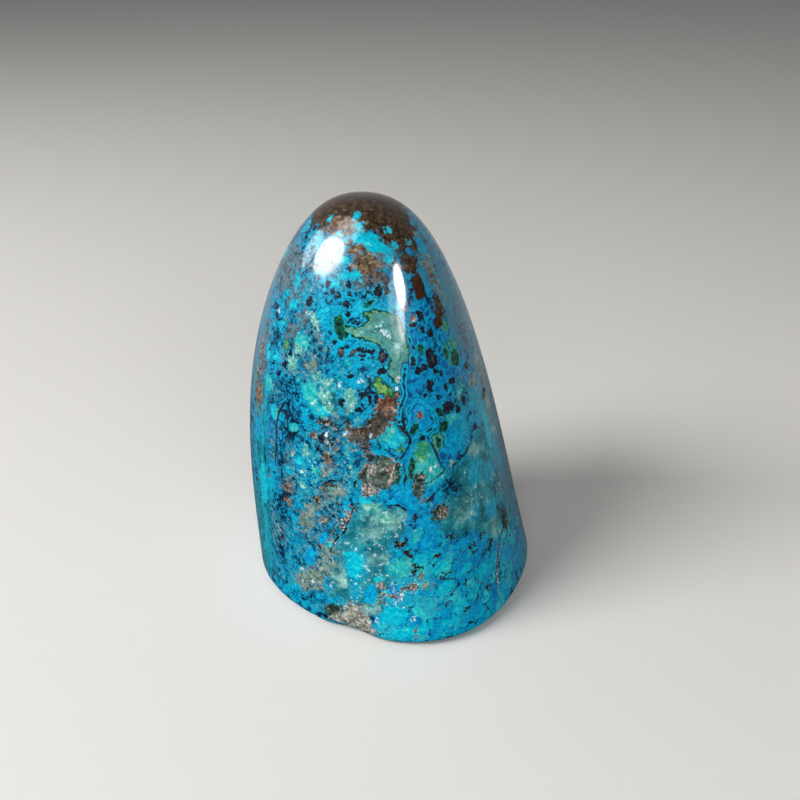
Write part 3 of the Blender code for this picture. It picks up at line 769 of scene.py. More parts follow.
@dataclass
class Skin:
    """The fine skin: a grid of rings, gathered a little finer on the front.

    The rings end where the fall, the square root of the share of the height that lies
    above, is still `top_fall`; `samples` points measure the profile that they follow.
    """

    form: StoneForm
    segments: int = 400
    rings: int = 226
    edge_rings: int = 10
    front_gather: float = 0.34
    top_fall: float = 0.02
    samples: int = 4000
    right: Array = field(init=False)
    up: Array = field(init=False)
    smooth: Array = field(init=False)

    def __post_init__(self) -> None:
        """Work out where every ring and every upright line of the grid lies."""
        turns = 2.0 * math.pi * np.arange(self.segments) / self.segments
        self.right = np.degrees(turns - self.front_gather * np.sin(turns))
        self.up = self.ring_heights()
        grid_right, grid_up = np.meshgrid(self.right, self.up)
        self.smooth = self.form.place(grid_right, grid_up)

    def ring_heights(self) -> Array:
        """Space the rings evenly along the stone's profile, closer round its edge.

        Returns:
            The height of each ring over the base, in millimetres.
        """
        form = self.form
        angles = 0.5 * math.pi * np.arange(self.edge_rings) / self.edge_rings
        edge = form.edge_radius * (1.0 - np.cos(angles))
        edge_fall = math.sqrt(1.0 - form.edge_radius / form.height)
        fall = np.linspace(edge_fall, self.top_fall, self.samples)
        width = np.polyval(form.curves()[0], fall)
        height = form.height * (1.0 - fall * fall)
        steps = np.hypot(np.diff(width), np.diff(height))
        length = np.concatenate([[0.0], np.cumsum(steps)])
        even = np.linspace(0.0, length[-1], self.rings)
        return np.concatenate([edge, np.interp(even, length, height)])


@dataclass
class MineralMap:
    """Where each mineral lies: its signed distance in mm at every point of the skin.

    A pocket or a patch is drawn on the plane that touches the stone at its middle, and
    takes in the skin up to `plane_room` and `plane_share` of its size from that plane.
    """

    form: StoneForm
    points: Array
    reach: float = 4.0
    plane_room: float = 2.5
    plane_share: float = 0.75
    fields: dict[Mineral, Array] = field(default_factory=dict)

    def __post_init__(self) -> None:
        """Lay every pocket, every patch and every seam of every mineral."""
        for mineral in Mineral:
            laid = np.full(len(self.points), -self.reach)
            for row in POCKETS.get(mineral, ()):
                laid = np.maximum(laid, self.pocket(Pocket(*row)))
            for outline in PATCHES.get(mineral, ()):
                laid = np.maximum(laid, self.patch(Patch(outline)))
            for half_width, points in SEAMS.get(mineral, ()):
                laid = np.maximum(laid, self.seam(Seam(half_width, points)))
            self.fields[mineral] = np.clip(laid, -self.reach, self.reach)

    def pocket(self, pocket: Pocket) -> Array:
        """Measure how far inside a pocket the skin lies.

        Args:
            pocket: the oval.

        Returns:
            The signed distance at each point, in millimetres.
        """
        centre, across, along = self.form.axes(pocket.right, pocket.up, pocket.turn)
        offset = self.points - centre
        wide = offset @ across / pocket.half_width
        high = offset @ along / pocket.half_height
        oval = np.hypot(wide, high)
        slope = np.hypot(wide / pocket.half_width, high / pocket.half_height)
        inside = (1.0 - oval) * oval / np.maximum(slope, 1e-6)
        inside = np.minimum(inside, min(pocket.half_width, pocket.half_height))
        off_plane = np.abs(offset @ np.cross(across, along))
        largest = max(pocket.half_width, pocket.half_height)
        room = self.plane_room + self.plane_share * largest
        return np.where(off_plane < room, inside, -self.reach)

    def patch(self, patch: Patch) -> Array:
        """Measure how far inside a patch the skin lies.

        Args:
            patch: the patch.

        Returns:
            The signed distance at each point, in millimetres.
        """
        right, up = np.mean(patch.outline, axis=0)
        centre, across, along = self.form.axes(right, up, 0.0)
        corners = self.form.place(*np.transpose(patch.outline)) - centre
        corners = np.stack([corners @ across, corners @ along], axis=-1)
        offset = self.points - centre
        flat = np.stack([offset @ across, offset @ along], axis=-1)
        nearest = np.full(len(flat), np.inf)
        inside = np.zeros(len(flat), bool)
        for start, end in zip(corners, np.roll(corners, -1, axis=0)):
            nearest = np.minimum(nearest, away(flat, start, end))
            run = end - start
            level = (start[1] > flat[:, 1]) != (end[1] > flat[:, 1])
            rise = run[1] if abs(run[1]) > 1e-9 else 1e-9
            inside ^= level & (flat[:, 0] < start[0] + (flat[:, 1] - start[1]) * run[0] / rise)
        off_plane = np.abs(offset @ np.cross(across, along))
        room = self.plane_room + self.plane_share * np.abs(corners).max()
        signed = np.where(inside, nearest, -nearest)
        return np.where(off_plane < room, signed, -self.reach)

    def seam(self, seam: Seam) -> Array:
        """Measure how far inside a seam the skin lies.

        Args:
            seam: the seam.

        Returns:
            The signed distance at each point, in millimetres.
        """
        nodes = [self.form.place(right, up) for right, up in seam.points]
        nearest = np.full(len(self.points), np.inf)
        for start, end in zip(nodes, nodes[1:]):
            nearest = np.minimum(nearest, away(self.points, start, end))
        return seam.half_width - nearest


@dataclass
class StoneSkin:
    """Builds the stone's fine mesh, with its relief, its mineral fields and its map.

    `sunk` lists (mineral, depth, width of its wall) of the softer minerals, and
    `crystals` (mineral, height) of the open ones. Crystals stand in two sizes, given as
    how many come to a millimetre. The base takes the lowest `base_map` of the map, drawn
    at `base_map_size` and set in by `base_map_edge`.
    """

    form: StoneForm = field(default_factory=StoneForm)
    sunk: tuple[tuple[Mineral, float, float], ...] = (
        (Mineral.VUG, 0.55, 1.1),
        (Mineral.UMBER, 0.4, 0.8),
        (Mineral.DRUSE, 0.22, 0.6),
        (Mineral.RUST, 0.12, 0.5),
        (Mineral.CLEFT, 0.35, 0.35),
        (Mineral.QUARTZ, 0.1, 0.8),
    )
    crystals: tuple[tuple[Mineral, float], ...] = (
        (Mineral.VUG, 0.34),
        (Mineral.UMBER, 0.22),
        (Mineral.DRUSE, 0.3),
        (Mineral.RUST, 0.2),
        (Mineral.QUARTZ, 0.14),
    )
    crystal_wall: float = 0.4
    large_crystals: float = 1.1
    small_crystals: float = 2.3
    small_share: float = 0.6
    base_rings: int = 6
    crown_rise: float = 0.02
    base_map: float = 0.2
    base_map_size: float = 0.18
    base_map_edge: float = 0.005

    def build(self) -> bpy.types.Object:
        """Build the stone's mesh, its mineral fields and its map.

        Returns:
            The stone's object, with its place in its mesh.
        """
        skin = Skin(self.form)
        rows, columns = skin.smooth.shape[:2]
        smooth = skin.smooth.reshape(-1, 3)
        minerals = MineralMap(self.form, smooth)
        depth = self.shaped_depth(skin, smooth)
        depth = depth + self.mineral_depth(minerals, smooth)
        depth[-columns:] = depth[-columns:].mean()
        shaped = smooth + self.inward(skin.smooth).reshape(-1, 3) * depth[:, None]
        shaped[:columns, 2] = 0.0
        points, fields = self.with_caps(shaped, minerals, columns)
        mesh = self.mesh(self.into_frame(points), rows, columns)
        self.write_fields(mesh, fields)
        self.write_map(mesh, skin, rows, columns)
        log.info("stone: %d vertices, %d faces", len(mesh.vertices), len(mesh.polygons))
        return bpy.data.objects.new("polished_stone", mesh)

    def inward(self, grid: Array) -> Array:
        """Find which way is inward at every point.

        Args:
            grid: the points of the skin, ring by ring.

        Returns:
            The unit normals of the grid, turned inward.
        """
        around = np.roll(grid, -1, axis=1) - np.roll(grid, 1, axis=1)
        normal = np.cross(np.gradient(grid, axis=0), around)
        return normal / np.maximum(np.linalg.norm(normal, axis=-1, keepdims=True), 1e-9)

    def shaped_depth(self, skin: Skin, points: Array) -> Array:
        """Measure the solid's own hollows and its chip.

        Args:
            skin: the skin.
            points: its points, one after another, in millimetres.

        Returns:
            How deep each point lies, in millimetres.
        """
        depth = np.zeros(len(points))
        for right, up, half_width, half_height, turn, deep in self.form.hollows:
            centre, across, along = self.form.axes(right, up, turn)
            offset = points - centre
            oval = np.hypot(offset @ across / half_width, offset @ along / half_height)
            near = np.linalg.norm(offset, axis=1) < 2.0 * max(half_width, half_height)
            depth += np.where(near, deep * fade(oval), 0.0)
        right, half_width, high, deep = self.form.chip
        azimuth = np.radians(np.tile(skin.right, len(skin.up)) - right)
        run = np.arctan2(np.sin(azimuth), np.cos(azimuth)) * np.hypot(points[:, 0], points[:, 1])
        return depth + deep * fade(np.abs(run) / half_width) * fade(points[:, 2] / high)

    def mineral_depth(self, minerals: MineralMap, points: Array) -> Array:
        """Measure how much deeper the softer and the open minerals lie.

        Args:
            minerals: the mineral map of the points.
            points: the points of the skin, in millimetres.

        Returns:
            The added depth of each point, in millimetres, with its crystals.
        """
        depth = np.zeros(len(points))
        for mineral, deep, width in self.sunk:
            depth += deep * smooth_step(minerals.fields[mineral], 0.0, width)
        rough = np.zeros(len(points))
        for mineral, high in self.crystals:
            inside = smooth_step(minerals.fields[mineral], 0.0, self.crystal_wall)
            rough = np.maximum(rough, high * inside)
        for i in np.flatnonzero(rough > 0.0):
            spot = Vector(points[i])
            large, small = spot * self.large_crystals, spot * self.small_crystals
            depth[i] += rough[i] * (noise.noise(large) + self.small_share * noise.noise(small))
        return depth

    def with_caps(
        self, shaped: Array, minerals: MineralMap, columns: int
    ) -> tuple[Array, dict[Mineral, Array]]:
        """Add the flat base's inner rings and the dome's top point.

        Args:
            shaped: the points of the grid, in millimetres.
            minerals: the mineral map of the same points.
            columns: how many points a ring has.

        Returns:
            All points and, for each mineral, all its distances.
        """
        foot, crown = shaped[:columns], shaped[-columns:]
        middle = foot.mean(axis=0)
        shares = np.linspace(1.0, 0.0, self.base_rings + 1)[1:-1]
        inner = [middle + (foot - middle) * share for share in shares]
        top = crown.mean(axis=0) + np.array([0.0, 0.0, self.crown_rise])
        points = np.concatenate([shaped, *inner, middle[None], top[None]])
        fields = {}
        for mineral, laid in minerals.fields.items():
            ends = [laid[:columns]] * len(inner)
            centre = [laid[:columns].mean(), laid[-columns:].mean()]
            fields[mineral] = np.concatenate([laid, *ends, centre])
        return points, fields

    def into_frame(self, points: Array) -> Array:
        """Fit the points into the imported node's box.

        Args:
            points: the points, in millimetres.

        Returns:
            The points in metres, filling the box exactly.
        """
        low, high = (np.array(corner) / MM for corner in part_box(STONE_NODE))
        own_low, own_high = points.min(axis=0), points.max(axis=0)
        share = (points - own_low) / (own_high - own_low)
        return (low + share * (high - low)) * MM

    def mesh(self, points: Array, rows: int, columns: int) -> bpy.types.Mesh:
        """Join the points into one closed mesh with smooth shading.

        Args:
            points: the skin's rings, the base's rings, its middle and the top.
            rows: how many rings the skin has.
            columns: how many points a ring has.

        Returns:
            The mesh.
        """
        grid = np.arange(rows * columns).reshape(rows, columns)
        inner = rows * columns + np.arange((self.base_rings - 1) * columns)
        below = np.concatenate([inner.reshape(-1, columns)[::-1], grid[:1]])
        faces = ring_faces(grid) + ring_faces(below)
        middle, top = len(points) - 2, len(points) - 1
        for i in range(columns):
            j = (i + 1) % columns
            faces.append((int(below[0, j]), int(below[0, i]), middle))
            faces.append((int(grid[-1, i]), int(grid[-1, j]), top))
        mesh = bpy.data.meshes.new("polished_stone")
        mesh.from_pydata([tuple(p) for p in points.tolist()], [], faces)
        mesh.update()
        mesh.polygons.foreach_set("use_smooth", [True] * len(mesh.polygons))
        return mesh

    def write_fields(self, mesh: bpy.types.Mesh, fields: dict[Mineral, Array]) -> None:
        """Store the minerals on the mesh.

        Args:
            mesh: the mesh.
            fields: each mineral's signed distance at every point, in millimetres.
        """
        for mineral, laid in fields.items():
            layer = mesh.attributes.new(mineral.value, "FLOAT", "POINT")
            layer.data.foreach_set("value", laid.astype(np.float32))

    def write_map(self, mesh: bpy.types.Mesh, skin: Skin, rows: int, columns: int) -> None:
        """Unroll the skin into a map: the side above, the base in a corner below.

        Args:
            mesh: the mesh.
            skin: the skin that it was made from.
            rows: how many rings the skin has.
            columns: how many points a ring has.
        """
        count, body = len(mesh.vertices), rows * columns
        top = count - 1
        rise = np.linalg.norm(np.diff(skin.smooth[:, 0], axis=0), axis=1)
        length = np.concatenate([[0.0], np.cumsum(rise)])
        side_v = np.zeros(count)
        side_v[:body] = np.repeat(length / length[-1], columns)
        side_v[top] = 1.0
        column = np.zeros(count)
        column[:body] = np.tile(np.arange(columns), rows)
        flat = np.array([v.co[:2] for v in mesh.vertices])
        flat = (flat - flat.min(axis=0)) / (flat.max(axis=0) - flat.min(axis=0))
        loops = np.zeros(len(mesh.loops), int)
        mesh.loops.foreach_get("vertex_index", loops)
        uv = np.zeros((len(loops), 2))
        for face in mesh.polygons:
            corners = list(face.loop_indices)
            ids = loops[corners]
            if (ids >= body).any() and top not in ids or (ids < columns).all():
                uv[corners] = flat[ids] * self.base_map_size + self.base_map_edge
                continue
            places = column[ids]
            if top in ids:
                places = np.where(ids == top, places[ids < body].mean(), places)
            elif places.max() - places.min() > columns / 2:
                places = np.where(places < columns / 2, places + columns, places)
            uv[corners, 0] = places / columns
            uv[corners, 1] = self.base_map + side_v[ids] * (1.0 - self.base_map)
        layer = mesh.uv_layers.new(name="OFBake")
        layer.data.foreach_set("uv", uv.ravel())


# ---------------------------------------------------------------- the mineral finish


class Pattern(Enum):
    """The grain that a mineral's colours follow, by the real size of its features."""

    CLOUD = "cloud"
    MOTTLE = "mottle"
    SPLINTER = "splinter"
    MAZE = "maze"
    GRAIN = "grain"
    VEIL = "veil"


@dataclass(frozen=True)
class Tint:
    """How one mineral looks in the polished face.

    Args:
        mineral: the mineral.
        pattern: what its colours follow.
        stops: its colours over the pattern, as (place from 0 to 1, sRGB hex colour) and,
            where what lies below shows through, their cover.
        ragged: how far its edge wanders, in millimetres.
        soft: half the width of its edge, in millimetres.
        fray: how far single grains stray over its edge, in millimetres.
        rim: lines along its edge, as (mm inside the edge, colour, cover from 0 to 1).
        rough: its roughness, for a mineral that takes the polish worse.
        channel: which of the three independent wanderings its edge takes.
    """

    mineral: Mineral
    pattern: Pattern
    stops: Stops
    ragged: float = 0.9
    soft: float = 0.08
    fray: float = 0.3
    rim: Stops = ()
    rough: float = 0.0
    channel: int = 0


# The blue ground: pale between the cells, down through blue to its dark cores.
MAZE_STOPS = (
    (0.3, "10C0D6"), (0.36, "029EC4"), (0.385, "08B2D0"), (0.42, "0092BC"), (0.45, "02AACC"),
    (0.48, "0486B0"), (0.505, "04A4C6"), (0.525, "0074A4"), (0.545, "08B8D6"), (0.558, "006C9A"),
    (0.572, "053A5C"), (0.6, "06243C"), (0.64, "0A1C2E"), (0.68, "22161A"), (0.72, "3E2418"),
    (0.78, "0B3A36"),
)

# The dark wall of a core, with a bright blue thread round it.
DARK_RIM = (
    (-0.42, "04A6CE", 0), (-0.26, "0EB8DA", 0.85), (-0.12, "006890", 0.9), (0, "06202E", 1),
    (0.16, "06141C", 0),
)

# The cells of the turquoise, over each cell's shade.
CELL_STOPS = ((0.45, "0068AC"), (0.7, "008AC4"), (1.0, "04B4CE"), (1.25, "3CCAC4"))

# Its veins, which run from dark blue through iron brown to pale quartz.
VEIN_STOPS = ((0.36, "042030"), (0.5, "07405E"), (0.6, "3A322C"), (0.68, "A09684"))

TINTS: tuple[Tint, ...] = (
    # Azure: the side that holds more copper, where the same blue runs deeper.
    Tint(
        Mineral.AZURE, Pattern.CLOUD,
        ((0.36, "0072D4", 0.2), (0.5, "0084E0", 0.34), (0.64, "009AEC", 0.42)),
        ragged=3, soft=2.4, fray=0.5,
    ),
    # Breccia: crushed chrysocolla set again in silica, a salt-and-pepper of splinters.
    Tint(
        Mineral.BRECCIA, Pattern.SPLINTER,
        (
            (0.24, "03283C"), (0.32, "053A58"), (0.37, "066294"), (0.41, "0096C0"),
            (0.44, "0C6084"), (0.48, "06A2C2"), (0.51, "0A82A8"), (0.54, "1CACBE"),
            (0.57, "2A6484"), (0.59, "34B0B6"), (0.62, "62BAB0"), (0.645, "225C70"),
            # The near-white stops are partly white grains and partly painted glints.
            (0.67, "706E6C"), (0.695, "98AE9E"), (0.72, "D6E2D8"), (0.745, "E4E6DE"),
            (0.77, "8E765C"), (0.81, "40281E"),
        ),
        ragged=3, soft=0.4, fray=0.9,
    ),
    # Rubble: the same breccia where iron and clay fill it, greyer and browner.
    Tint(
        Mineral.RUBBLE, Pattern.SPLINTER,
        (
            (0.26, "0A0E14"), (0.33, "182C3A"), (0.38, "1C5A78"), (0.42, "0A86AC"),
            (0.46, "24566C"), (0.5, "0C96BA"), (0.54, "4C6E7A"), (0.58, "4C98A4"),
            (0.61, "8A9894"), (0.64, "3E5060"), (0.67, "78685E"), (0.7, "BCC0B4"),
            (0.74, "96725A"), (0.79, "3A241C"),
        ),
        ragged=3.6, soft=0.5, fray=1.4, channel=1,
    ),
    # Chalcedony: clear silica with a breath of copper, smooth and a little milky.
    Tint(
        Mineral.CHALCEDONY, Pattern.CLOUD,
        ((0.3, "0E5462"), (0.4, "146472"), (0.5, "1E7A88"), (0.6, "36949C"), (0.72, "74B4B0")),
        ragged=2.4, soft=1, fray=0.8, channel=1,
    ),
    # Turquoise: copper-rich silica of the foot, in bright, flat blues.
    Tint(
        Mineral.TURQUOISE, Pattern.CLOUD,
        (
            (0.32, "0068A2"), (0.41, "0080B8"), (0.47, "0094C4"), (0.53, "00AAC8"),
            (0.6, "0ABCC6"), (0.7, "48CCC2"),
        ),
        ragged=2.2, soft=0.3, fray=0.6, channel=2,
    ),
    # Glaze: turquoise-blue silica of the side, smooth under the polish.
    Tint(
        Mineral.GLAZE, Pattern.VEIL,
        ((0.34, "034A5C"), (0.42, "057080"), (0.5, "078EA4"), (0.58, "0AA2B8"), (0.68, "24AAB4")),
        ragged=2.4, soft=0.5, fray=0.5, channel=2,
    ),
    # Upright streaks of the flanks, where the sawn face runs along the bedding.
    Tint(
        Mineral.STREAKS, Pattern.VEIL,
        (
            (0.33, "0E2E3C"), (0.39, "0A6490"), (0.43, "0094CA"), (0.465, "5E8C84"),
            (0.49, "3E7478"), (0.515, "009CD2"), (0.54, "2A7084"), (0.565, "727462"),
            (0.59, "0092CA"), (0.63, "6E7060"), (0.69, "2C3234"),
        ),
        ragged=3.4, soft=0.6, fray=0.9, channel=1,
    ),
    # Copper haze: soft blue clouds that hang inside the clear silica.
    Tint(
        Mineral.HAZE, Pattern.MOTTLE,
        ((0.34, "06789A"), (0.5, "0E9ABC"), (0.66, "34B2C4")),
        ragged=1.6, soft=1.1, fray=0.2, channel=2,
    ),
    # Milk: silica with fine bubbles, so it clouds over to a pale grey-green.
    Tint(
        Mineral.MILK, Pattern.CLOUD,
        (
            (0.34, "4A8E8E", 0.3), (0.44, "669E9A", 0.5), (0.54, "86B6AE", 0.66),
            (0.64, "A2CAC0", 0.74), (0.74, "C8DED6", 0.8),
        ),
        ragged=2.4, soft=1.1, fray=0.6, channel=2,
    ),
    # Froth: white quartz needles that curl through the chalcedony in thin lines.
    Tint(
        Mineral.FROTH, Pattern.MOTTLE,
        (
            (0.36, "3E7C84", 0), (0.375, "2E686E", 0.55), (0.4, "2E686E", 0.55),
            (0.415, "3E7C84", 0), (0.6, "B8D4CE", 0), (0.615, "D4E4DC", 0.85),
            (0.665, "E0ECE4", 0.85), (0.68, "B8D4CE", 0),
        ),
        ragged=3.4, soft=0.9, fray=1.8,
    ),
    # Limonite: iron-stained matrix, brown and a little duller than the silica.
    Tint(
        Mineral.LIMONITE, Pattern.MOTTLE,
        (
            (0.32, "1E150E"), (0.42, "2E2116"), (0.5, "3E2E20"), (0.58, "4E3C2A"),
            (0.66, "64503A"), (0.74, "887658"),
        ),
        ragged=2, soft=0.15, fray=0.8, rough=0.16, channel=2,
    ),
    # Iron dusting: loose brown grains that fade into the blue round the limonite.
    Tint(
        Mineral.DUST, Pattern.MOTTLE,
        (
            (0.32, "1E2E38", 0.9), (0.42, "36464E", 0.88), (0.49, "5A6266", 0.8),
            (0.55, "787A72", 0.75), (0.585, "3A8098", 0.4), (0.62, "0AA0C4", 0),
            (0.66, "0AA0C4", 0), (0.7, "8C9088", 0.75),
        ),
        ragged=3, soft=0.4, fray=1.2, rough=0.1, channel=1,
    ),
    # Ochre: earthy iron silica, warm and dull beside the glassy blue.
    Tint(
        Mineral.OCHRE, Pattern.MOTTLE,
        (
            (0.32, "33241A"), (0.42, "503E2E"), (0.5, "6E5A48"), (0.57, "8C7A66"),
            (0.63, "A89C88"), (0.68, "4E8490"), (0.73, "0C92B0"),
        ),
        ragged=2, soft=0.3, fray=0.9, rough=0.12,
    ),
    # Olive: a thin film of iron over copper, which greys the blue under it.
    Tint(
        Mineral.OLIVE, Pattern.MOTTLE,
        (
            (0.34, "2C4440", 0.9), (0.42, "4C6862", 0.85), (0.48, "708674", 0.8),
            (0.54, "A09E80", 0.8), (0.58, "5C8E8C", 0.5), (0.62, "BCBAA6", 0.85),
            (0.67, "D6D2C2", 0.8), (0.72, "3C8A98", 0.4),
        ),
        ragged=1.6, soft=0.8, fray=1, channel=1,
    ),
    # Navy: iron-dark silica with blue splinters, the deep holes in the colour.
    Tint(
        Mineral.NAVY, Pattern.SPLINTER,
        (
            (0.32, "04202E"), (0.42, "053048"), (0.49, "0A4C6C"), (0.53, "0084B0"),
            (0.57, "0AA2CA"), (0.61, "143E60"), (0.65, "282234"), (0.69, "0C3650"),
            (0.75, "0E4E4C"),
        ),
        ragged=1.7, soft=0.15, fray=1.2, channel=2,
    ),
    # Cyan: chrysocolla with the least iron, clean and bright.
    Tint(
        Mineral.CYAN, Pattern.MOTTLE,
        ((0.34, "0094B4"), (0.45, "00AAC6"), (0.55, "02BAD0"), (0.63, "30C8CC"), (0.71, "74D2C6")),
        ragged=1.2, soft=0.25, fray=0.5, channel=1,
    ),
    # Teal silica: copper-stained crystals, greener where they are thin.
    Tint(
        Mineral.TEAL, Pattern.MOTTLE,
        (
            (0.32, "0A8694"), (0.42, "129EAA"), (0.5, "24B0B2"), (0.59, "4CB6AE"),
            (0.67, "94CAC0"), (0.75, "DCEAE0"),
        ),
        ragged=1.2, soft=0.3, fray=0.5,
    ),
    # Blue: late chrysocolla in small fillings, strong and even.
    Tint(
        Mineral.BLUE, Pattern.MOTTLE,
        ((0.34, "0064A4"), (0.44, "0086BC"), (0.54, "00A0CC"), (0.66, "08B6D8")),
        ragged=1.1, soft=0.2, fray=0.4,
    ),
    # Mint: milky copper silica, pale and soft among the greens.
    Tint(
        Mineral.MINT, Pattern.MOTTLE,
        ((0.32, "287878"), (0.42, "4A9A92"), (0.5, "68B0A4"), (0.58, "8CC6B8"), (0.68, "CADED2")),
        ragged=1.3, soft=0.35, fray=0.6, channel=2,
    ),
    # Agate pockets: clear chalcedony banded along its own walls.
    Tint(
        Mineral.AGATE, Pattern.CLOUD,
        (
            (0.34, "17504F"), (0.43, "2E7472"), (0.5, "4A9490"), (0.56, "3A7C76"),
            (0.62, "72B0A8"), (0.7, "B4D6CC"),
        ),
        ragged=1.1, soft=0.06, fray=0.2,
        rim=(
            (-0.6, "01A6C8", 0), (-0.44, "1EC2DA", 0.9), (-0.24, "0088AA", 0.7),
            (-0.1, "042A24", 0.95), (0.08, "0A3A28", 0.95), (0.25, "2C7444", 0.85),
            (0.42, "84B48A", 0.8), (0.52, "1E6A60", 0.85), (0.7, "6FB2A6", 0.6),
            (0.8, "2E7E7C", 0.6), (1, "6AB0A8", 0.35), (1.2, "3C8E90", 0.3), (1.5, "7CBAB0", 0.4),
            (1.7, "2E7E84", 0.4), (2, "6FB2A8", 0.3), (2.3, "4FA098", 0),
        ),
    ),
    # Green films: copper carbonate washed thinly over the blue.
    Tint(
        Mineral.GREEN, Pattern.MOTTLE,
        (
            (0.32, "083A2E", 0.95), (0.4, "0A6E70", 0.6), (0.46, "1E7A48", 0.9),
            (0.53, "46964E", 0.9), (0.6, "74B060", 0.85), (0.66, "0AA0BC", 0.3),
            (0.72, "9CCC90", 0.8),
        ),
        ragged=1.8, soft=0.3, fray=0.7, channel=2,
    ),
    # Moss: bright green copper carbonate in a dark wall, so that it stands out.
    Tint(
        Mineral.MOSS, Pattern.MOTTLE,
        ((0.34, "1E5E34"), (0.44, "3C8440"), (0.52, "5E9C4C"), (0.6, "84B266"), (0.7, "B4CC9A")),
        ragged=1.2, soft=0.12, channel=1,
        rim=(
            (-0.3, "0E6A58", 0), (-0.1, "063A2A", 0.95), (0.15, "144E2C", 0.8),
            (0.45, "2A6A3C", 0),
        ),
    ),
    # Malachite: green so deep that it looks black until the light is on it.
    Tint(
        Mineral.MALACHITE, Pattern.MOTTLE,
        ((0.34, "021612"), (0.46, "07302A"), (0.56, "0E4A38"), (0.66, "237A4E")),
        ragged=0.7, fray=0.2, channel=2,
        rim=(
            (-0.45, "0AA8C0", 0), (-0.28, "1EB8BE", 0.85), (-0.1, "0A5A50", 0.9),
            (0.08, "04211C", 0),
        ),
    ),
    # Channels: late blue silica that filled the cracks, in lines along their walls.
    Tint(
        Mineral.CHANNEL, Pattern.MOTTLE,
        ((0.34, "0080AE"), (0.5, "04A0CC"), (0.66, "14B8D8")),
        ragged=0.45, soft=0.06, fray=0.15,
        rim=(
            (-0.25, "0A5A80", 0), (-0.12, "0A4A6C", 0.6), (0, "06344C", 0.75),
            (0.1, "00A8D4", 0.9), (0.36, "00B0D8", 0.9), (0.46, "084060", 0.9),
            (0.56, "04141E", 0.95), (0.8, "04141E", 0.95),
        ),
    ),
    # Umber: iron-brown silica in the long hollow, dark and only half polished.
    Tint(
        Mineral.UMBER, Pattern.MOTTLE,
        (
            (0.32, "060301"), (0.42, "180D05"), (0.5, "2E1D0C"), (0.57, "4C381C"),
            # The palest stop paints the sparkle of its rough crystals as painted highlight specks.
            (0.62, "7E6C46"), (0.68, "DCD0B0"),
        ),
        ragged=1.3, soft=0.2, fray=0.7, rough=0.22, channel=1,
    ),
    # Open vugs: grey-green silica crystals that the polish never reached.
    Tint(
        Mineral.VUG, Pattern.MOTTLE,
        (
            (0.32, "040705"), (0.42, "10201A"), (0.5, "1E3A30"), (0.57, "365A4C"),
            (0.64, "6C8A78"), (0.71, "DCE0D0"),
        ),
        ragged=1.2, soft=0.2, fray=0.5, rough=0.26,
    ),
    # Druse: fine grey quartz crystals, which stay dull and break the shine.
    Tint(
        Mineral.DRUSE, Pattern.GRAIN,
        (
            (0.38, "0C0A08"), (0.44, "34281F"), (0.49, "6A5C52"), (0.54, "9A8E82"),
            (0.6, "B8B4A8"), (0.68, "E4E0D6"),
        ),
        ragged=1.5, soft=0.2, fray=0.8, rough=0.36, channel=1,
    ),
    # Rust: loose orange-brown iron in open pockets, matt and warm.
    Tint(
        Mineral.RUST, Pattern.GRAIN,
        ((0.38, "1E0E06"), (0.45, "4E260F"), (0.52, "7E451F"), (0.6, "B4804E"), (0.66, "1E130A")),
        ragged=1.1, soft=0.15, fray=0.6, rough=0.36, channel=2,
    ),
    # Cores: the dark seeds that the blue grew round, each with a bright ring.
    Tint(
        Mineral.CORE, Pattern.GRAIN,
        (
            (0.38, "04304C"), (0.44, "0A1220"), (0.5, "141218"), (0.55, "2E2226"),
            (0.59, "0A3E60"), (0.63, "16141C"), (0.68, "84705E"),
        ),
        ragged=1.3, soft=0.06, rim=DARK_RIM,
    ),
    # Pits: loose black and brown grains, with no wall of their own.
    Tint(
        Mineral.PIT, Pattern.GRAIN,
        ((0.36, "030608"), (0.48, "12100C"), (0.56, "3A2E20"), (0.62, "1C4654"), (0.68, "8C8470")),
        ragged=1.2, soft=0.2, fray=0.9, rough=0.2, channel=1,
    ),
    # Jasper: brown iron silica in blocks, smooth and as well polished as the blue.
    Tint(
        Mineral.JASPER, Pattern.MOTTLE,
        ((0.34, "22140A"), (0.5, "3C2410"), (0.66, "583216")),
        ragged=0.5, soft=0.07, fray=0.1, channel=1,
        rim=((-0.2, "06202E", 0), (-0.06, "06202E", 0.9), (0.1, "120C08", 0)),
    ),
    # Quartz: pale rough crystals at the nick, dull beside the polish.
    Tint(
        Mineral.QUARTZ, Pattern.MOTTLE,
        ((0.32, "2C302C"), (0.42, "565E58"), (0.5, "8A8E84"), (0.58, "B6B4A8"), (0.68, "E8E2D8")),
        ragged=1.9, soft=0.5, fray=0.8, rough=0.26, channel=1,
    ),
    # Glints: small clear crystals painted almost white, partly their own pale colour and partly a
    # painted highlight.
    Tint(
        Mineral.GLINT, Pattern.MOTTLE,
        ((0.36, "0FA0CC", 0.2), (0.45, "4CB4CC", 0.6), (0.52, "B4D6D8", 0.9), (0.62, "F2F6F2", 1)),
        ragged=0.8, soft=0.14, fray=0.45,
    ),
    # Clefts: hairlines that stay open and catch the dark polishing grit.
    Tint(
        Mineral.CLEFT, Pattern.MOTTLE,
        ((0.3, "030505"), (0.7, "0C181C")),
        ragged=0.25, soft=0.07, fray=0.1, rough=0.3, channel=2,
    ),
)


@dataclass(frozen=True)
class Growth:
    """A grown pattern, with finer features inside its largest ones.

    Args:
        width: the width of its largest features, in millimetres.
        layers: how many finer layers it has.
        harsh: how strong each finer layer is.
    """

    width: float
    layers: float
    harsh: float

    def at(self, place: Socket) -> dict[str, Value]:
        """Return the inputs of its noise, read at a place in millimetres."""
        scale = 1.0 / self.width
        return {"Vector": place, "Scale": scale, "Detail": self.layers, "Roughness": self.harsh}


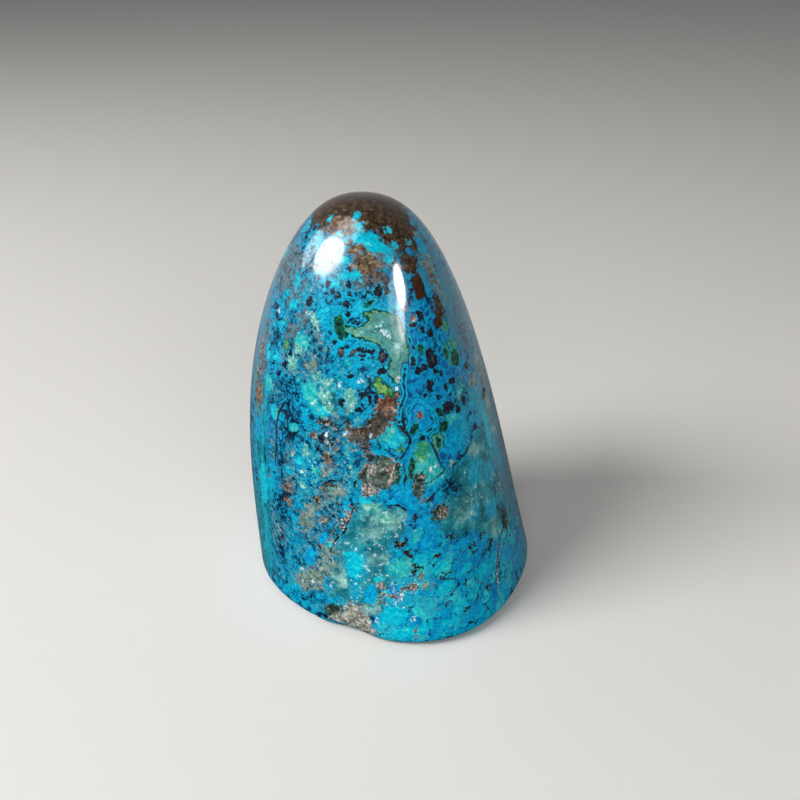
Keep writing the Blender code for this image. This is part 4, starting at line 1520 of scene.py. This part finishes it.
@dataclass(frozen=True)
class Cells:
    """Cells that share their walls, all about as wide.

    Args:
        width: the width of a cell, in millimetres.
        fine: how far its walls bend from grain to grain, in millimetres.
        broad: how far they bend over a few millimetres, in millimetres.
    """

    width: float
    fine: float
    broad: float = 0.0


@dataclass(frozen=True)
class Web:
    """Thin lines along the walls of cells, which die out in places.

    Args:
        cells: the cells.
        pattern: what the lines die out by.
        alive: the values of that pattern where they begin and where they are full.
        reach: how much further from its wall a full line reaches than a dead one, in
            shares of a cell.
        least: how far a dead one reaches, which is below 0 where none may show.
        edge: how far inside its reach a line begins and is full, in shares of a cell.
        cover: how much of what lies below it hides.
    """

    cells: Cells
    pattern: Pattern
    alive: tuple[float, float]
    reach: float
    least: float
    edge: tuple[float, float]
    cover: float = 1.0


@dataclass(frozen=True)
class Zone:
    """Where a mineral shapes the look of others.

    Args:
        mineral: the mineral.
        ragged: how far its edge wanders, in millimetres.
        channel: which of the three wanderings its edge takes.
        edge: how far inside it begins and is full, in millimetres.
    """

    mineral: Mineral
    ragged: float
    channel: int
    edge: tuple[float, float]


@dataclass
class PolishedChrysocolla:
    """Chrysocolla in silica, cut en bloc and tumbled to a wet-looking polish.

    The silica gives hard, glassy highlights over saturated blue; the iron-rich parts
    and the open pockets stay duller, which breaks the shine up. A faint bloom on the
    polish spreads a weak, broad sheen round each highlight. The finest copper-silicate
    grains, under 0.1 mm, would not show, so they are drawn coarser, as `grain`.
    """

    name: str = "polished_chrysocolla_in_silica"
    ior: float = 1.5
    mirror: float = 0.4
    polish: float = 0.09
    bloom: float = 0.08
    bloom_rough: float = 0.27
    swirl: Growth = Growth(5.0, 2.0, 0.5)
    fray: Growth = Growth(1.15, 5.0, 0.66)
    cloud: Growth = Growth(2.6, 5.0, 0.62)
    mottle: Growth = Growth(0.95, 5.0, 0.7)
    maze: Growth = Growth(1.7, 5.0, 0.6)
    grain: Growth = Growth(0.42, 4.0, 0.78)
    veil: Growth = Growth(1.2, 5.0, 0.64)
    veil_stretch: tuple[float, float, float] = (1.0, 1.0, 0.16)
    # How far the patterns bend, from grain to grain and over a few millimetres.
    near_bend: tuple[float, float] = (0.7, 0.0)
    far_bend: tuple[float, float] = (1.2, 4.5)
    maze_bend: tuple[float, float] = (0.8, 1.0)
    # How much of the swirl joins the fray in the wandering of an edge, how far that
    # carries the edge, and how far the speckle carries its loose grains.
    swirl_share: float = 0.6
    wander_gain: float = 2.0
    stray_gain: float = 8.0
    # A splinter's level: what it starts from, then how much its own shade, the speckle,
    # the cloud and its distance from the gaps add.
    splinter: Cells = Cells(0.68, 1.5)
    splinter_mix: tuple[float, ...] = (-0.31, 0.26, 0.85, 0.3, 0.1)
    splinter_gap: tuple[float, float] = (0.02, 0.16)
    # The rings of the ground: paler along their walls, darker inside them, and paler all
    # over where the ground is plain.
    ring: Cells = Cells(1.5, 0.9, 1.2)
    ring_gap: tuple[float, float] = (0.05, 0.22)
    ring_lift: tuple[float, float] = (0.24, -0.11)
    plain_lift: float = -0.1
    network: Zone = Zone(Mineral.NETWORK, 2.2, 0, (-0.8, 1.6))
    plain: Zone = Zone(Mineral.PLAIN, 1.0, 1, (-0.6, 0.8))
    hairlines: Web = Web(
        Cells(1.25, 1.3, 2.0), Pattern.CLOUD, (0.4, 0.56), 0.13, 0.0, (-0.03, 0.07), 0.62
    )
    # The turquoise: where it is veined, its two webs of veins, how much speckle joins
    # the shade of each of its cells, and how much of that shade shows.
    veined: Zone = Zone(Mineral.TURQUOISE, 2.2, 2, (0.0, 0.8))
    large_veins: Web = Web(
        Cells(3.4, 2.3, 2.5), Pattern.CLOUD, (0.42, 0.6), 0.07, -0.02, (-0.02, 0.02)
    )
    small_veins: Web = Web(
        Cells(1.53, 1.0, 1.0), Pattern.MOTTLE, (0.46, 0.62), 0.15, 0.0, (-0.01, 0.05), 0.6
    )
    cell_speckle: float = 0.8
    cell_cover: float = 0.44
    # The grain deepens and lightens every colour: from, to, and the brightness at each.
    grain_span: tuple[float, float, float, float] = (0.36, 0.64, 0.55, 1.05)
    open_zones: tuple[Zone, ...] = tuple(
        Zone(mineral, 1.0, 1, (-0.1, 0.4))
        for mineral in (Mineral.VUG, Mineral.UMBER, Mineral.DRUSE, Mineral.RUST, Mineral.QUARTZ)
    )
    # How high the crystals of the open parts stand.
    crystal_mm: float = 0.3
    tree: bpy.types.NodeTree = field(init=False)
    place: Socket = field(init=False)
    fine_bend: Socket = field(init=False)
    broad_bend: Socket = field(init=False)
    wander: list[Socket] = field(init=False)
    spare: list[Socket] = field(init=False)
    patterns: dict[Pattern, Socket] = field(default_factory=dict)

    def material(self) -> bpy.types.Material:
        """Build the finish.

        Returns:
            The material.
        """
        made = bpy.data.materials.new(self.name)
        made.use_nodes = True
        self.tree = made.node_tree
        self.tree.nodes.clear()
        self.lay_patterns()
        colour, rough = self.blue_field(), self.polish
        for tint in TINTS:
            colour, rough = self.lay(tint, colour, rough)
            if tint.mineral is Mineral.TURQUOISE:
                colour = self.veins(colour)
        inputs = {
            "Base Color": self.shaded(colour),
            "Roughness": rough,
            "IOR": self.ior,
            "Specular IOR Level": self.mirror,
            "Coat Weight": self.bloom,
            "Coat Roughness": self.bloom_rough,
            "Normal": self.relief(),
        }
        shader = add(self.tree, "BsdfPrincipled", {}, inputs)
        add(self.tree, "OutputMaterial", {"is_active_output": True}, {"Surface": shader}, None)
        return made

    def lay_patterns(self) -> None:
        """Lay the shared patterns, each by the width of its features in millimetres."""
        t, half = self.tree, (0.5, 0.5, 0.5)
        metres = add(t, "TexCoord", {}, (), "Object")
        self.place = add(t, *SCALED, {0: metres, "Scale": 1.0 / MM})
        swirl = add(t, "TexNoise", {}, self.swirl.at(self.place), "Color")
        self.broad_bend = add(t, *CENTRED, (swirl, half))
        fray = add(t, "TexNoise", {}, self.fray.at(self.place), "Color")
        self.fine_bend = add(t, *CENTRED, (fray, half))
        both = add(t, *MOVED, (self.broad_bend, (self.swirl_share,) * 3, self.fine_bend))
        split = add(t, "SeparateXYZ", {}, (both,)).node
        self.wander = [split.outputs[i] for i in range(3)]
        near, far = self.bent(*self.near_bend), self.bent(*self.far_bend)
        grown = {
            Pattern.CLOUD: (self.cloud, far),
            Pattern.MOTTLE: (self.mottle, near),
            Pattern.MAZE: (self.maze, self.bent(*self.maze_bend)),
            Pattern.GRAIN: (self.grain, near),
            Pattern.VEIL: (self.veil, add(t, *STRETCHED, (far, self.veil_stretch))),
        }
        for pattern, (growth, place) in grown.items():
            self.patterns[pattern] = add(t, "TexNoise", {}, growth.at(place), "Fac")
        loose = self.patterns[Pattern.MOTTLE].node.outputs["Color"]
        split = add(t, "SeparateXYZ", {}, (loose,)).node
        self.spare = [split.outputs[i] for i in (1, 2)]
        self.patterns[Pattern.SPLINTER] = self.splinters()

    def bent(self, fine: float, broad: float) -> Socket:
        """Bend the stone's own coordinates, so that no pattern looks laid out.

        Args:
            fine: how far they bend from grain to grain, in millimetres.
            broad: how far they bend over a few millimetres, in millimetres.

        Returns:
            The bent place, in millimetres.
        """
        near = add(self.tree, *MOVED, (self.fine_bend, (fine,) * 3, self.place))
        if not broad:
            return near
        return add(self.tree, *MOVED, (self.broad_bend, (broad,) * 3, near))

    def walls(self, cells: Cells) -> Socket:
        """Return how far it is to the walls between cells, in shares of a cell."""
        cell = {"Vector": self.bent(cells.fine, cells.broad), "Scale": 1.0 / cells.width}
        return add(self.tree, "TexVoronoi", {"feature": "DISTANCE_TO_EDGE"}, cell, "Distance")

    def shades(self, cells: Cells) -> Socket:
        """Give each cell a shade of its own.

        Args:
            cells: the cells.

        Returns:
            The shade, from 0 to 1.
        """
        cell = {"Vector": self.bent(cells.fine, cells.broad), "Scale": 1.0 / cells.width}
        colour = add(self.tree, "TexVoronoi", {}, cell, "Color")
        return add(self.tree, "SeparateXYZ", {}, (colour,))

    def splinters(self) -> Socket:
        """Crush the silica into splinters, each its own shade, dark between.

        Returns:
            The pattern.
        """
        base, own, speckle, cloud, beside = self.splinter_mix
        level = add(self.tree, *TIMES_PLUS, (self.shades(self.splinter), own, base))
        gap = add(self.tree, *RISE, (self.walls(self.splinter), *self.splinter_gap))
        parts = (self.spare[0], speckle), (self.patterns[Pattern.CLOUD], cloud), (gap, beside)
        for part, share in parts:
            level = add(self.tree, *TIMES_PLUS, (part, share, level))
        return level

    def web(self, web: Web, zone: Optional[Socket] = None) -> Socket:
        """Draw a web of thin lines.

        Args:
            web: its sizes.
            zone: the cover of the only zone that it shows in, if there is one.

        Returns:
            Its cover.
        """
        t = self.tree
        alive = add(t, *RISE, (self.patterns[web.pattern], *web.alive))
        reach = add(t, *TIMES_PLUS, (alive, web.reach, web.least))
        inside = add(t, *LESS, (reach, self.walls(web.cells)))
        line = add(t, *RISE, (inside, *web.edge))
        line = add(t, *TIMES, (line, zone)) if zone else line
        return add(t, *TIMES, (line, web.cover)) if web.cover < 1.0 else line

    def coloured(self, value: Socket, stops: Stops) -> Socket:
        """Colour a value whose colours do not run from 0 to 1.

        Args:
            value: the value.
            stops: its colours, as (value, sRGB hex colour) and perhaps their cover.

        Returns:
            The colour, whose node also gives the cover.
        """
        low, high = stops[0][0], stops[-1][0]
        share = add(self.tree, *SHARE, (value, low, high))
        even = [((place - low) / (high - low), *rest) for place, *rest in stops]
        return add(self.tree, "ValToRGB", {"stops": even}, (share,), "Color")

    def blue_field(self) -> Socket:
        """Grow the ground: blue silica in rings round dark cores.

        Returns:
            Its colour.
        """
        t = self.tree
        open_ring = add(t, *RISE, (self.walls(self.ring), *self.ring_gap))
        lift = add(t, *TIMES_PLUS, (open_ring, *self.ring_lift))
        lift = add(t, *TIMES, (lift, self.zone(self.network)))
        level = add(t, *PLUS, (self.patterns[Pattern.MAZE], lift))
        level = add(t, *TIMES_PLUS, (self.zone(self.plain), self.plain_lift, level))
        ground = add(t, "ValToRGB", {"stops": MAZE_STOPS}, (level,))
        lines = {0: self.web(self.hairlines), 6: ground, 7: linear("033A60")}
        return add(t, *LAYER, lines, LAYER_COLOUR)

    def veins(self, below: Socket) -> Socket:
        """Lay the cells and the vein network of the turquoise over a colour.

        Args:
            below: the colour so far.

        Returns:
            The new colour.
        """
        t, zone = self.tree, self.zone(self.veined)
        shade = self.shades(self.large_veins.cells)
        shade = add(t, *TIMES_PLUS, (self.patterns[Pattern.MOTTLE], self.cell_speckle, shade))
        cells = self.coloured(shade, CELL_STOPS)
        veins = add(t, "ValToRGB", {"stops": VEIN_STOPS}, (self.spare[1],))
        layers = (
            (add(t, *TIMES, (zone, self.cell_cover)), cells),
            (self.web(self.large_veins, zone), veins),
            (self.web(self.small_veins, zone), linear("00609C")),
        )
        for cover, colour in layers:
            below = add(t, *LAYER, {0: cover, 6: below, 7: colour}, LAYER_COLOUR)
        return below

    def zone(self, zone: Zone) -> Socket:
        """Return the cover of a zone."""
        inside = self.inside(zone.mineral, zone.ragged, zone.channel)
        return add(self.tree, *RISE, (inside, *zone.edge))

    def inside(self, mineral: Mineral, ragged: float, channel: int, fray: float = 0.0) -> Socket:
        """Find how far inside a mineral the skin lies, with a ragged edge.

        Args:
            mineral: the mineral.
            ragged: how far its edge wanders, in millimetres.
            channel: which of the three wanderings it takes.
            fray: how far single grains stray over the edge, in millimetres.

        Returns:
            The signed distance, in millimetres.
        """
        t, stray = self.tree, self.stray_gain * fray
        laid = add(t, "Attribute", {"attribute_name": mineral.value}, (), "Fac")
        laid = add(t, *TIMES_PLUS, (self.wander[channel], self.wander_gain * ragged, laid))
        if not fray:
            return laid
        grains = add(t, *TIMES_PLUS, (self.spare[channel % 2], stray, -0.5 * stray))
        return add(t, *PLUS, (laid, grains))

    def lay(self, tint: Tint, below: Socket, rough: Value) -> tuple[Socket, Value]:
        """Lay one mineral over what lies below it.

        Args:
            tint: the mineral's colours and edge.
            below: the colour so far.
            rough: the roughness so far.

        Returns:
            The new colour and the new roughness.
        """
        t = self.tree
        inside = self.inside(tint.mineral, tint.ragged, tint.channel, tint.fray)
        cover = add(t, *RISE, (inside, -tint.soft, tint.soft))
        colour = add(t, "ValToRGB", {"stops": tint.stops}, (self.patterns[tint.pattern],))
        drawn = cover
        if len(tint.stops[0]) > 2:
            drawn = add(t, *TIMES, (cover, colour.node.outputs["Alpha"]))
        below = add(t, *LAYER, {0: drawn, 6: below, 7: colour}, LAYER_COLOUR)
        if tint.rim:
            line = self.coloured(inside, tint.rim)
            part = line.node.outputs["Alpha"]
            below = add(t, *LAYER, {0: part, 6: below, 7: line}, LAYER_COLOUR)
        if tint.rough:
            both = {0: cover, 2: rough, 3: tint.rough}
            rough = add(t, "Mix", {"data_type": "FLOAT"}, both)
        return below, rough

    def shaded(self, colour: Socket) -> Socket:
        """Return a colour, made deeper and lighter from grain to grain."""
        grain = (self.patterns[Pattern.GRAIN], *self.grain_span)
        return add(self.tree, *SCALED, {0: colour, "Scale": add(self.tree, *SHARE, grain)})

    def relief(self) -> Socket:
        """Let fine crystals stand proud in the open parts.

        Returns:
            The skin's normal.
        """
        t = self.tree
        open_parts = self.zone(self.open_zones[0])
        for zone in self.open_zones[1:]:
            open_parts = add(t, *LARGER, (open_parts, self.zone(zone)))
        high = add(t, *TIMES, (self.patterns[Pattern.GRAIN], open_parts))
        relief = {"Strength": 1.0, "Distance": self.crystal_mm * MM, "Height": high}
        return add(t, "Bump", {}, relief)


# ---------------------------------------------------------------- stage, light, camera


class Sight(Enum):
    """What a light is seen by."""

    ALL = "body and gloss"
    BODY = "body only"
    GLOSS = "gloss only"


@dataclass(frozen=True)
class SoftLight:
    """One soft light, which faces the stone.

    Args:
        name: its name.
        toward: its direction, seen from the stone.
        size: its width and height, in metres.
        roll: degrees that it is rolled about the line to the stone.
        glow: its radiance, which does not change with its size.
        sight: what it lights.
        shape: its outline, as Blender names it.
    """

    name: str
    toward: tuple[float, float, float]
    size: tuple[float, float]
    roll: float
    glow: float
    sight: Sight = Sight.ALL
    shape: str = "ELLIPSE"

    def hang(self, aim: tuple[float, float, float], distance: float) -> None:
        """Hang the light.

        Args:
            aim: the point that it faces, in metres.
            distance: how far it hangs from that point, in metres.
        """
        lamp = bpy.data.lights.new(self.name, "AREA")
        lamp.shape = self.shape
        lamp.size, lamp.size_y = self.size
        round_share = math.pi / 4.0 if self.shape == "ELLIPSE" else 1.0
        lamp.energy = self.glow * math.pi * self.size[0] * self.size[1] * round_share
        hung = bpy.data.objects.new(self.name, lamp)
        line = Vector(self.toward).normalized()
        turned = line.to_track_quat("Z", "Y").to_matrix().to_4x4()
        rolled = Matrix.Rotation(math.radians(self.roll), 4, "Z")
        hung.matrix_world = Matrix.Translation(Vector(aim) + line * distance) @ turned @ rolled
        hung.visible_diffuse = self.sight is not Sight.GLOSS
        hung.visible_glossy = self.sight is not Sight.BODY
        bpy.context.scene.collection.objects.link(hung)


# The key gives the large highlight at the upper left and the strip the narrow one at
# the upper right. The dim gloss lights give the haze beside them, and the front light
# brightens the body alone.
LIGHTS = (
    SoftLight("soft_key", (-0.71, -0.34, 0.61), (0.6, 0.36), 30.0, 16.0),
    SoftLight("key_gloss", (-0.71, -0.34, 0.61), (0.6, 0.36), 30.0, 82.0, Sight.GLOSS),
    SoftLight("soft_front", (0.12, -0.95, 0.24), (0.8, 0.6), 0.0, 4.0, Sight.BODY, "RECTANGLE"),
    SoftLight("strip_gloss", (0.69, -0.515, 0.5), (0.21, 0.26), -43.0, 46.0, Sight.GLOSS),
    SoftLight("top_gloss", (-0.36, -0.25, 0.9), (0.5, 0.55), 0.0, 6.0, Sight.GLOSS),
    SoftLight("side_gloss", (-0.87, 0.1, 0.48), (0.3, 0.36), 0.0, 7.0, Sight.GLOSS),
    SoftLight("tail_gloss", (0.58, -0.7, 0.4), (0.3, 0.36), -43.0, 4.0, Sight.GLOSS),
    SoftLight("spark_gloss", (0.655, -0.675, 0.36), (0.14, 0.24), -43.0, 11.0, Sight.GLOSS),
)


@dataclass
class Studio:
    """The plain pale floor, the soft lights, the room's light and the camera.

    Lengths are in metres. `back_span` and `low_span` are the room's light, as (from, to)
    of the direction away from the front and of the direction up, and the brightness at
    each. `camera_tilt` is how far the camera is turned up from looking straight down.
    """

    aim: tuple[float, float, float] = (0.0, 0.0, 0.045)
    light_distance: float = 0.9
    floor_size: float = 6.0
    floor_gap: float = 0.0002
    floor_rough: float = 0.9
    floor_mirror: float = 0.2
    back_span: tuple[float, float, float, float] = (-0.2, 0.9, 0.06, 0.46)
    low_span: tuple[float, float, float, float] = (-0.5, -0.2, 0.2, 1.0)
    camera_place: tuple[float, float, float] = (0.0014, -0.1729, 0.1335)
    camera_tilt: float = 62.0
    lens_mm: float = 42.0
    sensor_mm: float = 36.0
    nearest: float = 0.01

    def build(self) -> None:
        """Build the whole studio."""
        self.floor()
        for light in LIGHTS:
            light.hang(self.aim, self.light_distance)
        self.room()
        self.camera()
        view = bpy.context.scene.view_settings
        view.view_transform = "Standard"
        view.look = "None"
        log.info("studio: floor, %d soft lights, room and camera", len(LIGHTS))

    def floor(self) -> None:
        """Lay the pale floor under the stone's base."""
        half = self.floor_size / 2.0
        mesh = bpy.data.meshes.new("pale_floor")
        corners = [(-half, -half, 0.0), (half, -half, 0.0), (half, half, 0.0), (-half, half, 0.0)]
        mesh.from_pydata(corners, [], [(0, 1, 2, 3)])
        # Matt paper: no mirror of the stone, only a soft shadow that grounds it.
        made = bpy.data.materials.new("matt_paper")
        made.use_nodes = True
        tree = made.node_tree
        tree.nodes.clear()
        paper = {
            "Base Color": linear("DEDBD6"),
            "Roughness": self.floor_rough,
            "Specular IOR Level": self.floor_mirror,
        }
        shader = add(tree, "BsdfPrincipled", {}, paper)
        add(tree, "OutputMaterial", {"is_active_output": True}, {"Surface": shader}, None)
        mesh.materials.append(made)
        sheet = bpy.data.objects.new("pale_floor", mesh)
        sheet.location.z = -self.floor_gap
        sheet.visible_glossy = False
        bpy.context.scene.collection.objects.link(sheet)

    def room(self) -> None:
        """Light the room: dim in front of the stone, pale and bright behind it."""
        world = bpy.data.worlds.new("soft_room")
        bpy.context.scene.world = world
        world.use_nodes = True
        tree = world.node_tree
        tree.nodes.clear()
        toward = add(tree, "TexCoord", {}, (), "Generated")
        split = add(tree, "SeparateXYZ", {}, (toward,)).node
        back = add(tree, *RISE, (split.outputs["Y"], *self.back_span))
        low = add(tree, *RISE, (split.outputs["Z"], *self.low_span))
        glow = add(tree, *TIMES, (back, low))
        sky = add(tree, "Background", {}, {"Color": linear("F4F6F8"), "Strength": glow})
        add(tree, "OutputWorld", {}, {"Surface": sky}, None)

    def camera(self) -> None:
        """Set the camera, looking a little down on the stone."""
        lens = bpy.data.cameras.new("camera")
        lens.lens = self.lens_mm
        lens.sensor_width = self.sensor_mm
        lens.clip_start = self.nearest
        stand = bpy.data.objects.new("camera", lens)
        stand.location = self.camera_place
        stand.rotation_euler = (math.radians(self.camera_tilt), 0.0, 0.0)
        bpy.context.scene.collection.objects.link(stand)
        bpy.context.scene.camera = stand


def main() -> None:
    """Build the stone, its finish and the studio."""
    logging.basicConfig(level=logging.INFO, format="%(name)s: %(message)s")
    stone = StoneSkin().build()
    bpy.context.scene.collection.objects.link(stone)
    stone.data.materials.append(PolishedChrysocolla().material())
    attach(stone, STONE_BODY)
    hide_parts(STONE_NODE)
    log.info("finish: %d minerals laid", len(TINTS))
    Studio().build()


if __name__ == "__main__":
    main()
